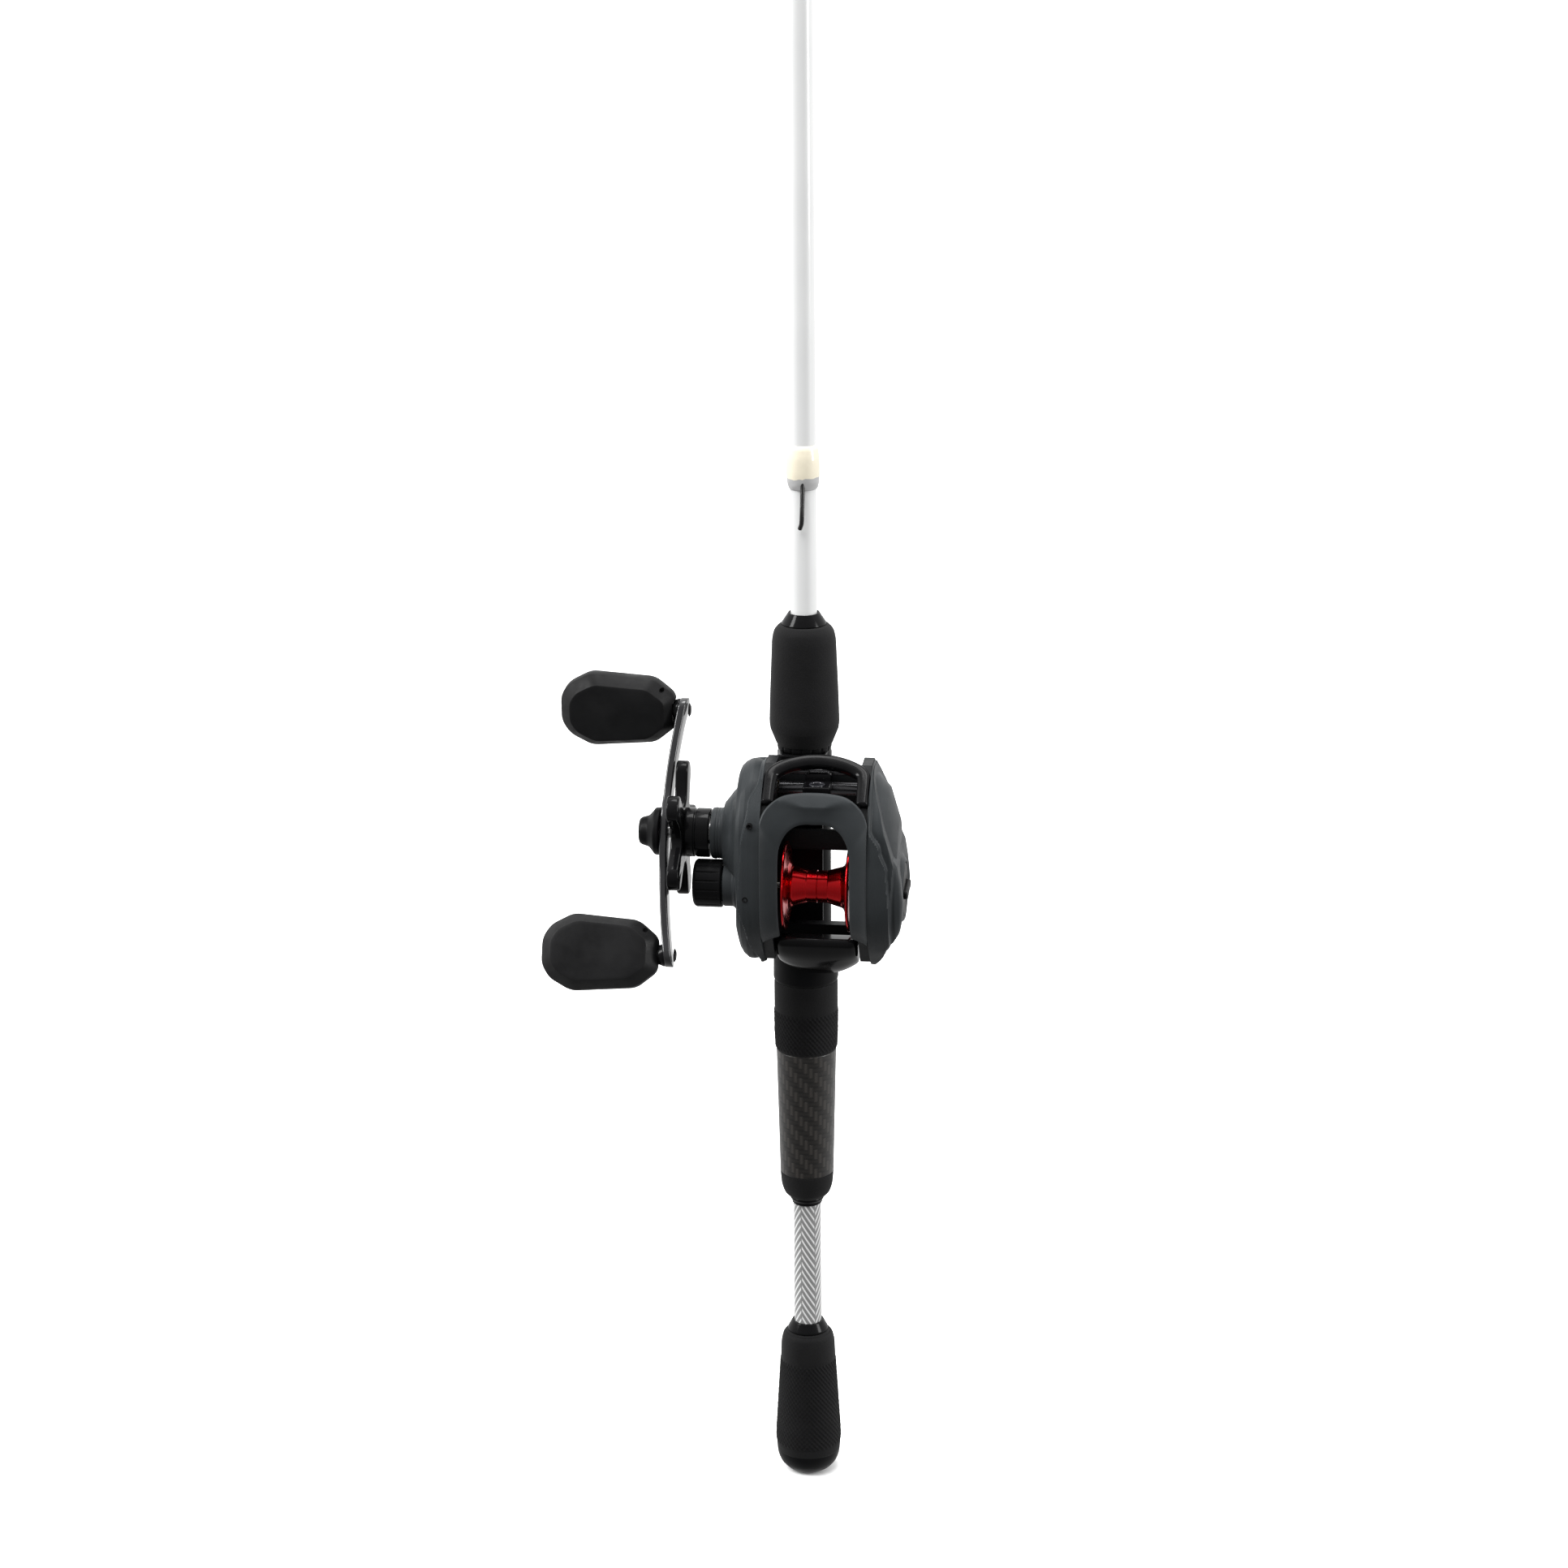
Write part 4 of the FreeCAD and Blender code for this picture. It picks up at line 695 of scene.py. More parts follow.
# eight guides whose gaps shrink steadily toward the tip
GUIDE_GAPS = [1 - 0.075 * gap for gap in range(7)]
GUIDE_RUN = 1150
GUIDE_HEIGHTS = [735.0]
for gap in GUIDE_GAPS:
    GUIDE_HEIGHTS.append(GUIDE_HEIGHTS[-1] + gap * GUIDE_RUN / sum(GUIDE_GAPS))
frames, inserts, wraps = {True: [], False: []}, [], []
for index, height in enumerate(GUIDE_HEIGHTS):
    bore, stand = max(2.3, 5.4 - 0.75 * index), max(5.0, 13.5 - 1.9 * index)
    skin = blank_radius(height - 30)
    centre = Vector((0, -(skin + stand), height))
    double = index < 3
    up_axis = Vector((0, 0, 1))
    frames[double].append(torus("ring", centre, up_axis, bore + 1.05, 0.72, "guide_steel"))
    inserts.append(flat_ring("insert", centre, up_axis, bore, bore + 0.55, 1.7, "ring_ceramic"))
    foot_line = -(skin + 0.75)
    reach = 0.9 * stand + 3
    length = 9 + 0.4 * stand
    for side in ((-1, 1) if double else (1,)):
        for spread in (-1, 1):
            path = spline([centre + Vector((spread * (bore + 0.95), 0.25 * bore, 0)),
                centre + Vector((spread * (bore * 0.75 + 0.6), 0.45 * stand, side * reach * 0.42)),
                Vector((spread * 0.75, foot_line - 0.5, height + side * (reach - 1.2))),
                Vector((spread * 0.6, foot_line, height + side * (reach + 1.5))),
                Vector((spread * 0.55, foot_line + 0.05, height + side * (reach + length)))], 40)
            frames[double].append(sweep("leg", path, disc(0.66, 14), "guide_steel", up=Vector((1, 0, 0))))
        foot_low = min(height + side * reach, height + side * (reach + length))
        low = foot_low - 2 if side < 0 else foot_low + 1
        high = low + length + 1
        fat = skin + 1.55
        core = blank_radius(low) - 0.05

        def wrap_shape(radius, along, angle):
            front = max(0.0, -math.sin(angle))
            return radius + (0.62 * front ** 5 if radius > skin + 0.4 else 0)
        wraps.append(lathe("wrap", rounded([(core, low, 0), (skin + 0.5, low + 0.3, 0.3),
            (fat - 0.2, low + 2, 1.2), (fat, low + 4, 1.2), (fat, high - 4, 1.2),
            (fat - 0.2, high - 2, 1.2), (skin + 0.5, high - 0.3, 0.3), (core, high, 0),
            (core - 0.6, high, 0), (core - 0.6, low, 0)]), "thread_wrap", around=64, shape=wrap_shape,
            material=WHITE_THREAD))
merged("double_foot_frames", frames[True], stands_for=["double_foot_guides"])
merged("single_foot_frames", frames[False], stands_for=["single_foot_guides"])
merged("guide_windings", wraps, stands_for=["guide_wraps"])
TIP_END = 1981                              # the tip top's upper end
tip_radius = blank_radius(TIP_END - 14)
tip_axis = Vector((0, -0.35, 1)).normalized()
tip_centre = Vector((0, -(tip_radius + 2.6), TIP_END - 2.3 - 1.9))
tip_parts = [torus("tip_ring", tip_centre, tip_axis, 3.35, 0.7, "guide_steel")]
inserts.append(flat_ring("insert", tip_centre, tip_axis, 2.3, 2.85, 1.6, "ring_ceramic"))
for spread in (-1, 1):
    path = spline([(spread * 0.5, -(tip_radius + 0.2), 1966), (spread * 1.3, -(tip_radius + 0.6), 1970.5),
        tip_centre + Vector((spread * 3.25, 0.5, -0.2))], 24)
    tip_parts.append(sweep("leg", path, disc(0.6, 14), "guide_steel", up=Vector((1, 0, 0))))
tip_parts.append(sleeve("tip_tube", [(tip_radius + 0.1, 1964), (tip_radius + 0.5, 1964.2),
    (tip_radius + 0.5, 1975.8), (tip_radius + 0.1, 1976)], tip_radius, "guide_steel", around=48))
merged("tip_frame", tip_parts, stands_for=["tip_top"])
merged("ceramic_rings", inserts, stands_for=["guide_inserts"])


def drill(radius, low, high, spot, slot, axis=AXIS_X, around=64):
    """A round cutter from low to high along an axis through a spot."""
    return lathe("cut", [(0.0, low), (radius, low), (radius, high), (0.0, high)], slot, spot, axis, around)


def boolean(made, cutters):
    """Cut each cutter from a piece and remove the cutter."""
    for cutter in cutters:
        bake(made, ("BOOLEAN", dict(operation="DIFFERENCE", object=cutter, solver="EXACT")))
        bpy.data.objects.remove(cutter)
    return made


# ---------------------------------------------------------------- reel side plates
WALL_LEFT, WALL_RIGHT = -20.0, 20.4         # the shells' parting planes, from the spool's centre
PLATE = rounded([(16, -31, 5), (25, -3.1, 12), (25, 33.9, 9), (17, 46.1, 5), (4, 48.5, 8), (-9.2, 42, 8),
    (-19.3, 30, 12), (-22.4, 8, 14), (-21.4, -8, 10), (-14.3, -20, 8), (-2, -31, 5)], steps=8)


def from_table(table, value, eased=True):
    """Read a value from a falling or rising table of (key, value)."""
    table = sorted(table)
    if value <= table[0][0]:
        return table[0][1]
    for (low, first), (high, second) in zip(table, table[1:]):
        if value <= high:
            share = (value - low) / (high - low)
            return first + (second - first) * (share * share * (3 - 2 * share) if eased else share)
    return table[-1][1]


def rays(outline, centre, count):
    """Where evenly turned rays from a centre meet an outline."""
    found = []
    for step in range(count):
        angle = TAU * step / count
        ray = Vector((math.cos(angle), math.sin(angle)))
        best = 0
        for start, stop in zip(outline, outline[1:] + outline[:1]):
            ax, ay = start[0] - centre[0], start[1] - centre[1]
            bx, by = stop[0] - start[0], stop[1] - start[1]
            cross = ray.x * by - ray.y * bx
            if abs(cross) < 1e-9:
                continue
            reach = (ax * by - ay * bx) / cross
            along = (ax * ray.y - ay * ray.x) / cross
            if -1e-6 <= along <= 1 + 1e-6 and reach > best:
                best = reach
        found.append(Vector((centre[0], centre[1])) + ray * best)
    return found


def side_plate(name, centre, wall, side, crown, hub, creases, inner, cap=None):
    """A closed shell: crown is the outer skin as (share of the outline, height), hub turned steps as
    (radius, height), and inner the hollow's skin.  The height is kept under cap, a table by z.
    Each crease is (table of height by z, depth, reach): the skin drops there and recovers over the reach."""
    count = 288                     # points round the outline
    hub_rows = 16
    soft = 0.7                      # how gently the cap takes over, in mm
    rim = rays(PLATE, centre, count)
    middle_point = Vector(centre)
    skin = []
    dense = []
    crown_rows = 7
    for start, stop in zip(crown, crown[1:]):
        dense += [tuple(a + (b - a) * k / crown_rows for a, b in zip(start, stop))
            for k in range(crown_rows)]
    dense.append(crown[-1])
    for scale, height in dense:
        skin.append([(height, *(middle_point + (point - middle_point) * scale)) for point in rim])
    last_scale, last_height = dense[-1]
    circle = hub[0]
    for step in range(1, hub_rows + 1):
        share = step / hub_rows
        row = []
        for number, point in enumerate(rim):
            angle = TAU * number / count
            start = middle_point + (point - middle_point) * last_scale
            stop = middle_point + Vector((math.cos(angle), math.sin(angle))) * circle[0]
            spot = start + (stop - start) * share
            row.append((last_height + (circle[1] - last_height) * smooth_step(0, 1, share), *spot))
        skin.append(row)
    solid = [[Vector(point) for point in row] for row in skin]
    rows = len(solid)
    moved = [[None] * count for _ in range(rows)]
    for k in range(rows):
        for j in range(count):
            here = solid[k][j]
            if k in (0, rows - 1):
                moved[k][j] = here
                continue
            along = solid[k + 1][j] - solid[k - 1][j]
            around = solid[k][(j + 1) % count] - solid[k][j - 1]
            normal = around.cross(along).normalized()
            if normal.x < 0:
                normal = -normal
            drop = 0.0
            for table, depth, reach in creases:
                level = from_table(table, here.z)
                past = here.x - level
                if here.y > 14:
                    continue
                if past >= 0:
                    drop += depth * smooth_step(0, 1.3, past) * max(0.0, 1 - past / reach) ** 1.2
                else:
                    drop -= 0.4 * depth * max(0.0, 1 + past / (0.9 * reach)) ** 1.6
            fade = smooth_step(0, 0.8, here.x) * (1 - smooth_step(rows - 9, rows - 1, k))
            moved[k][j] = here - normal * drop * fade
    if cap:
        for row in moved[1:-1]:
            for p in row:
                over = (p.x - from_table(cap, p.z, False)) / soft
                if over > -6:
                    p.x = max(0.15, p.x - soft * (over if over > 30 else math.log1p(math.exp(over))))
    loops = [[(p.x, p.y, p.z) for p in row] for row in moved]
    for radius, height in hub[1:]:
        loops.append([(height, centre[0] + radius * math.cos(TAU * n / count),
            centre[1] + radius * math.sin(TAU * n / count)) for n in range(count)])
    for scale, height in inner:
        loops.append([(height, *(middle_point + (point - middle_point) * scale)) for point in rim])
    points = [REEL + Vector((wall + side * x, y, z)) for loop in loops for x, y, z in loop]
    made = outward(piece(name, points, tube_faces(len(loops), count), "charcoal_paint"))
    return shade_by_angle(made, 40)


def steps_of(*corners, radius=0.25):
    """Turned steps with small rounded corners, as (radius, height)."""
    return rounded([(*corner, radius) for corner in corners], radius, 3, closed=False)


DRIVE_SPOT = (DRIVE.y - REEL.y, DRIVE.z - REEL.z)
rings = [(9.6 if k % 2 else 9.85, 17.2 + 0.45 * k) for k in range(5)]
left_hub = [(18.6, 10.7)] + steps_of((16.9, 12.2), (16.4, 12.7), (12.9, 15.3), (12.3, 15.9), (9.85, 16.1),
    *rings, (9.85, 19.6), (9.6, 20.75), (7.05, 20.75), (7.05, 11.0), (13.2, 10.9), (13.6, 9.85))
HANDLE_CREASES = [([(44, 0.6), (37, 4.0), (20, 6.8), (-2, 8.0), (-16, 5.2), (-30, 1.6)], 1.5, 4.6)]
handle_plate = side_plate("handle_plate_shell", DRIVE_SPOT, WALL_LEFT, -1,
    [(1.0, 0), (1.0, 2.2), (0.994, 4.4), (0.978, 6.4), (0.945, 8.2), (0.9, 9.5), (0.85, 10.1)], left_hub,
    HANDLE_CREASES, [(0.8, 9.4), (0.9, 7.4), (0.945, 0.0)])
boolean(handle_plate, [drill(5.9, 7.5, 13.5, REEL + Vector((WALL_LEFT, 0, 0)), "charcoal_paint",
    AXIS_LEFT, 96)])
boss = (lathe("spool_boss", rounded([(6.0, 10.45, 0), (9.9, 10.45, 0), (9.9, 10.9, 0.3), (8.9, 11.8, 0.5),
    (8.7, 12.2, 0.3), (8.7, 15.7, 0.3), (6.6, 15.8, 0.1), (6.6, 24, 0.3), (6.0, 24, 0)]),
    "charcoal_paint", REEL + Vector((WALL_LEFT, 0, 0)), AXIS_LEFT, 96))
merged("handle_side_shell", [handle_plate, boss], stands_for=["handle_side_plate"])

right_hub = [(12.1, 12.4)] + steps_of((11.4, 12.9), (11.0, 12.9), (10.6, 12.5), (10.6, 11.2), (3.3, 11.2),
    (3.3, 10.4), (9.0, 10.2))
PALM_CREASES = [([(29, 0.6), (22, 4.4), (13, 7.0), (-2, 7.8), (-16, 8.0), (-22, 6.4), (-30, 4.8)], 1.5,
    6.0), ([(26, 8.2), (18, 10.2), (10, 9.6), (-2, 8.9), (-12, 8.6)], 0.9, 5.0)]
PALM_CAP = [(-33, 0.6), (-29.5, 1.9), (-26.5, 4.2), (-24, 5.8), (-20.5, 7.2), (-18, 9.4), (-14, 11.6),
    (-7, 13.0), (0, 13.4), (8, 12.4), (14, 11.2), (17, 9.4), (22, 8.0), (28, 6.2), (34, 4.6), (39.5, 2.6),
    (44.5, 0.9), (49, 0.4)]
palm_plate = side_plate("palm_plate_shell", (0, 0), WALL_RIGHT, 1,
    [(1.0, 0), (1.0, 1.6), (0.988, 4.0), (0.962, 6.4), (0.92, 8.8), (0.865, 10.8), (0.79, 12.5),
    (0.70, 13.8), (0.61, 14.7)], right_hub, PALM_CREASES,
    [(0.55, 10.4), (0.8, 6.4), (0.9, 2.0), (0.93, 0.0)], cap=PALM_CAP)
plug = lathe("plug", rounded([(15.6, -2.4, 0.2), (17.45, -2.4, 0.3), (17.45, 1.5, 0.1),
    (15.6, 1.5, 0.1)]), "charcoal_paint", REEL + Vector((WALL_RIGHT, 0, 0)), AXIS_X, 128)
merged("palm_side_shell", [palm_plate, plug], stands_for=["palm_side_plate"])

# dark screw wells in the front of the handle plate
dots = []
for x, y, z in ((-23.7, -19.9, 29.4), (-25.3, -21.9, 1.2)):
    dots.append(lathe("dot", rounded([(0, -1.2, 0), (0.62, -1.2, 0.1), (0.62, -0.05, 0),
        (0.95, 0.08, 0.1), (1.1, 0.0, 0.1), (1.1, -1.6, 0), (0, -1.6, 0)]), "satin_black",
        REEL + Vector((x, y, z)), AXIS_FRONT, 32))
merged("plate_screw_wells", dots)
fasteners = []
for y, z in ((14.5, -24.0), (-14.2, 24.5), (2.5, 43.0)):
    for first, last in ((-24.6, -16.6), (17.1, 21.2)):
        fasteners.append(lathe("screw", rounded([(0.02, first, 0), (1.05, first, 0.1), (1.05, last, 0.1),
            (0.02, last, 0)]), "bright_steel", REEL + Vector((0, y, z)), AXIS_X, 32))
merged("shell_screws", fasteners, stands_for=["side_plate_screws"])


# ---------------------------------------------------------------- hood over the spool
HOOD_CURVE = spline([(0, -15.0, -18.0), (0, -18.6, -13.6), (0, -21.4, -7), (0, -22.4, 2), (0, -22.2, 13),
    (0, -20.9, 25), (0, -18.2, 33.4), (0, -14.2, 39.6), (0, -10.4, 43.2)], 241)
HOOD_LENGTHS = [0.0]
for start, stop in zip(HOOD_CURVE, HOOD_CURVE[1:]):
    HOOD_LENGTHS.append(HOOD_LENGTHS[-1] + (stop - start).length)


def hood_length(z):
    """Arc length along the hood's side curve at a height."""
    for point, length in zip(HOOD_CURVE, HOOD_LENGTHS):
        if point.z >= z:
            return length
    return HOOD_LENGTHS[-1]


def hood_point(length):
    """Point and outward direction on the side curve."""
    length = max(0.0, min(length, HOOD_LENGTHS[-1]))
    index = 0
    while index < len(HOOD_LENGTHS) - 2 and HOOD_LENGTHS[index + 1] < length:
        index += 1
    share = (length - HOOD_LENGTHS[index]) / (HOOD_LENGTHS[index + 1] - HOOD_LENGTHS[index])
    low = max(index - 2, 0)
    high = min(index + 3, len(HOOD_CURVE) - 1)
    ahead = (HOOD_CURVE[high] - HOOD_CURVE[low]).normalized()
    return HOOD_CURVE[index].lerp(HOOD_CURVE[index + 1], share), Vector((0, -ahead.z, ahead.y))


def arch_line(keys, count):
    """A mirrored arch of (x, z) keys about the hood's middle, as x and arc length."""
    half = [(x, hood_length(z)) for x, z in keys]
    whole = [(0.2 - x, s, 0) for x, s in half] + [(0.2 + x, s, 0) for x, s in reversed(half[:-1])]
    return spline(whole, count)


ARCH = 181
outer_line = arch_line([(20.15, -18), (20.15, -4), (20.15, 12), (20.15, 26), (20.05, 31.5), (17.6, 36.2),
    (12.4, 39.8), (6, 41.1), (0, 41.3)], ARCH)
inner_line = arch_line([(13.5, -18), (13.5, -4), (13.5, 8), (13.4, 17), (12.7, 22), (10.4, 26.8),
    (7.2, 29.6), (3.6, 30.7), (0, 30.8)], ARCH)
LIP_SINK = 3.9                              # how far the lip falls under the hood's skin
cross = [0, 0.02, 0.06, 0.14, 0.24, 0.34, 0.42, 0.47, 0.49, 0.51, 0.56, 0.66, 0.78, 0.88, 0.94, 0.98, 1.0]
rows = []
for index in range(ARCH):
    q = abs(index / (ARCH - 1) - 0.5) * 2
    crease = 0.5 * (1 - smooth_step(0.08, 0.36, q))
    row = []
    for w in cross:
        flat = outer_line[index].lerp(inner_line[index], w)
        spot, out = hood_point(flat.y)
        edge = 0.35 * (math.exp(-(w / 0.025) ** 2) + math.exp(-((1 - w) / 0.035) ** 2))
        lip = max(0.0, w - crease) / max(0.2, 1 - crease)
        crest = 0.25 * min(1.0, w / max(crease, 0.05)) * (1 - smooth_step(0, 0.3, lip))
        sink = edge + LIP_SINK * lip * (1 - 0.25 * lip) - crest
        row.append(REEL + Vector((flat.x, spot.y, spot.z)) - out * sink)
    for w in (0.985, 0.6, 0.3, 0.02):
        flat = outer_line[index].lerp(inner_line[index], w)
        spot, out = hood_point(flat.y)
        row.append(REEL + Vector((flat.x, spot.y, spot.z)) - out * (2.2 + 2.0 * w))
    rows.append(row)
hood = outward(piece("spool_hood", [p for row in rows for p in row], capped_faces(ARCH, len(rows[0])),
    "charcoal_paint", stands_for=["top_hood"]))
shade_by_angle(hood, 30)


# the bar that ties the frame's walls together behind the spool
prism("frame_rear_bar", box(14.6, 16.7, 9.6, 17.8, 0.5), -17.4, 18.2, "frame_black", REEL, AXIS_X,
    bevel=0.4)


# ---------------------------------------------------------------- gloss front rail
RAIL_TILT = math.radians(36)
RAIL_UP = Vector((0, math.cos(RAIL_TILT), math.sin(RAIL_TILT)))
RAIL_OUT = Vector((0, -RAIL_UP.z, RAIL_UP.y))
RAIL_FOOT = REEL + Vector((0.2, -9.4, 38.6))
half = [(-17.8, -4.2), (-17.8, 1.0), (-17.75, 6.2), (-17.2, 9.6), (-14.9, 12.1), (-10.6, 14.4),
    (-5.6, 15.9), (-1.4, 16.4)]
whole = half + [(-a, b) for a, b in reversed(half)]
rail_path = spline([RAIL_FOOT + Vector((a, 0, 0)) + RAIL_UP * b for a, b in whole], 121)


def rail_size(share):
    """The rail's section grows a little wider and thinner toward its middle."""
    inward = 1 - abs(share - 0.5) * 2
    width = 0.98 + 0.12 * smooth_step(0.1, 0.5, inward)
    return width, 1.16 - 0.06 * smooth_step(0.2, 0.6, inward)


sweep("front_bow", rail_path, rounded([(-2.5, -1.1), (-1.0, -2.2), (1.6, -2.2), (2.5, -1.2), (2.5, 1.4),
    (1.2, 2.2), (-1.6, 2.2), (-2.5, 1.0)], 0.7, 4), "gloss_black", up=RAIL_OUT, scale=rail_size,
    stands_for=["front_rail"])


# ---------------------------------------------------------------- spool
def spool_outline():
    """The spool's turned outline: two flanges, a stepped arbor and its bore."""
    end = -12.9
    half = [(1.3, -3, 0), (4.2, -3, 0.2), (6, end + 1.7, 0.3), (9.5, end, 0.3), (16.6, end, 0.3),
        (17.0, end + 0.3, 0.3), (17.0, end + 0.9, 0.3), (16.4, end + 1.3, 0.4), (10.2, end + 2.1, 0.8),
        (8.3, end + 3.1, 0.7), (7.9, -9.2, 0.2), (6.4, -4.2, 0.2), (6.25, -3.9, 0.2), (6.25, -0.25, 0.05),
        (6.0, -0.1, 0.05)]
    return rounded(half + [(radius, -along, size) for radius, along, size in reversed(half)], steps=4)


lathe("red_spool", spool_outline(), "red_anodised", REEL, AXIS_X, 192, body="spool_body",
    stands_for=["spool"])


# ---------------------------------------------------------------- thumb bar
THUMB_HALF = 15.3                           # half its width


def thumb_loop(x):
    """The bar's (y, z) outline at a place across the reel."""
    share = min(1.0, abs(x) / THUMB_HALF)
    lift = 5.2 * share ** 2.4
    draw = 1.3 * max(0.0, share - 0.86) / 0.14
    return rounded([(-9 + draw * 0.5, -17.8 - draw * 0.3, 0.5), (-2, -18.4 - draw * 0.3, 1), (4, -24, 2),
        (7.2, -31 + lift * 0.6, 2), (7.4 - draw, -35.8 + lift, 1), (3.2, -36.6 + lift, 1.2),
        (-1.6 + draw * 0.3, -33.4 + lift * 0.8, 3), (-7.2 + draw * 0.6, -26.6 + lift * 0.25, 3),
        (-10.3 + draw, -20.6, 0.9), (-10.1 + draw * 0.7, -18.6 - draw * 0.3, 0.7)], steps=5)


corner_stops = [THUMB_HALF, 15.2, 14.95, 14.5, 14, 13.2]
stops = [-x for x in corner_stops] + [-12 + 24 * k / 22 for k in range(23)] + corner_stops[::-1]
loops = []
for x in stops:
    loop = thumb_loop(x)
    shrink = 0.55 * max(0.0, (abs(x) - 14.5) / 0.8) ** 2
    cy = sum(p[0] for p in loop) / len(loop)
    cz = sum(p[1] for p in loop) / len(loop)
    row = []
    for y, z in loop:
        away = Vector((y - cy, z - cz))
        length = away.length
        away *= (length - shrink) / length
        row.append(REEL + Vector((x, cy + away.x, cz + away.y)))
    loops.append(row)
shade_by_angle(outward(piece("thumb_lever", [p for row in loops for p in row],
    capped_faces(len(loops), len(loops[0])), "gloss_black", body="thumb", stands_for=["thumb_bar"])), 42)


# ---------------------------------------------------------------- line guide
guide_face = prism("guide_face", box(-5.2, 5.2, -6.5, 3.6, 1.2, 5), 38.2, 41.2, "gloss_black", REEL,
    AXIS_Z, bevel=0.45, body="carriage")
boolean(guide_face, [drill(3.0, 36, 44, REEL + Vector((0, -2.6, 0)), "satin_black", AXIS_Z, 48)])
guide_block = prism("guide_block", box(-4.2, 4.2, 3.4, 12.2, 0.9), 32.7, 43.9, "gloss_black", REEL,
    AXIS_Z, bevel=0.7, body="carriage")
brow = prism("guide_brow", box(-4.9, 4.9, 2.2, 4.6, 0.6), 37.4, 43.8, "gloss_black", REEL, AXIS_Z,
    bevel=0.5, body="carriage")
boolean(guide_block, [drill(radius, -12, 12, spot, "gloss_black")
    for radius, spot in ((1.4, GUIDE_ROD), (2.8, WORM))])
merged("line_guide_body", [guide_face, guide_block, brow], body="carriage", stands_for=["line_guide"])
flat_ring("line_guide_ring", REEL + Vector((0, -2.6, 39.7)), Vector((0, 0, 1)), 2.15, 2.98, 3.7,
    "ring_ceramic", body="carriage", stands_for=["line_guide_insert"])


# ---------------------------------------------------------------- cast control, star drag and nut cap
def ribs(radius, along, angle):
    """Grip ribs round the cast control cap."""
    inside = smooth_step(-46.4, -45.9, along) * (1 - smooth_step(-37.6, -37.2, along))
    return radius - (0.42 * inside * max(0.0, math.cos(16 * angle)) ** 14 if radius > 8.6 else 0)


lathe("cast_knob", finer(rounded([(6.95, -36.3, 0.1), (8.9, -36.3, 0.3), (9.2, -36.7, 0.3),
    (9.2, -46.2, 0.3), (8.6, -47.0, 0.5), (8.0, -47.35, 0.2), (7.6, -47.2, 0.2), (0.02, -47.4, 0),
    (0.02, -45.8, 0), (6.95, -45.8, 0)], steps=4), 1.6), "satin_black", REEL, AXIS_X, 384, shape=ribs,
    body="cast_cap", stands_for=["cast_control_cap"])

HANDLE = DRIVE + Vector((-2.3, 0, 0))      # the handle is drawn a little further out, as in the photo
lathe("handle_cap", rounded([(5.05, -58.35, 0.1), (8.9, -58.35, 0.3), (9.2, -58.7, 0.3),
    (9.05, -60.5, 0.5), (7.6, -61.6, 0.5), (6.35, -62.7, 0.3), (5.95, -63.3, 0.3), (5.3, -65.6, 0.4),
    (4.6, -66.6, 0.5), (0.02, -66.65, 0), (0.02, -63, 0), (5.05, -63, 0)], steps=5), "satin_black",
    HANDLE, AXIS_X, 128, body="crank", stands_for=["nut_cap"])

star_outline = []
blade_side = [(6.3, 9.4), (4.7, 12.2), (4.5, 16.0), (4.9, 20.4)]
for arm in range(5):
    turn_angle = math.radians(72 * arm)
    side_dir = Vector((math.cos(turn_angle), math.sin(turn_angle)))
    up_dir = Vector((-side_dir.y, side_dir.x))
    tip_points = [(5.1 * math.cos(a), 22.6 + 4.7 * math.sin(a))
        for a in [math.pi * k / 14 for k in range(15)]]
    blade = blade_side + tip_points + [(-a, b) for a, b in reversed(blade_side[1:])]
    star_outline += [tuple(side_dir * a + up_dir * b) for a, b in blade]
star_turn = Matrix.Rotation(math.radians(-22), 3, "X")
star_blades = prism("star_blades", star_outline, -53.2, -48.5, "gloss_black", HANDLE, AXIS_X, star_turn,
    0.85, 4, body="star")
boolean(star_blades, [drill(3.55, -58, -44, HANDLE, "gloss_black")])
star_hub = lathe("star_hub", rounded([(3.5, -48.7, 0), (9.1, -49.0, 0.5), (9.4, -48.0, 0.4),
    (9.4, -45.2, 0.15), (9.05, -45.0, 0.1), (9.05, -44.5, 0.1), (9.4, -44.3, 0.15), (9.4, -39.5, 0.3),
    (9.0, -39.15, 0.2), (4.9, -39.15, 0.1), (4.9, -46.3, 0.1), (3.5, -46.3, 0)], steps=4), "gloss_black",
    HANDLE, AXIS_X, 128, body="star")
star_face = lathe("star_face", rounded([(3.5, -51.2, 0), (3.5, -53.3, 0.2), (6.4, -53.3, 0.3),
    (7.6, -52.6, 0.3), (7.6, -51.0, 0)], steps=4), "gloss_black", HANDLE, AXIS_X, 96, body="star")
merged("star_wheel", [star_blades, star_hub, star_face], body="star", stands_for=["star_drag"])


# ---------------------------------------------------------------- handle arm and knobs
LEAN = Matrix.Rotation(math.radians(-30), 3, "X")
CRANK = 47.8                                # from the drive axis to a knob's axis
REACH = CRANK + 4.6                         # to the arm's end


def arm_loop(level):
    """Section of the handle arm at a distance along it, as (x, across)."""
    share = abs(level) / REACH
    bow = 4.6 * (1 - share ** 2)
    inner, outer_face = -50.6 - bow, -53.6 - bow
    end = max(0.0, 1 - ((share - 0.9) / 0.1) ** 2) ** 0.5 if share > 0.9 else 1.0
    width = (4.5 + 0.8 * smooth_step(0.75, 0.95, share) + 2.4 * (1 - smooth_step(0.06, 0.3, share))) * end
    width = max(width, 0.35)
    return rounded([(inner, -width), (inner, width), (outer_face, width), (outer_face, -width)], 0.9, 4)


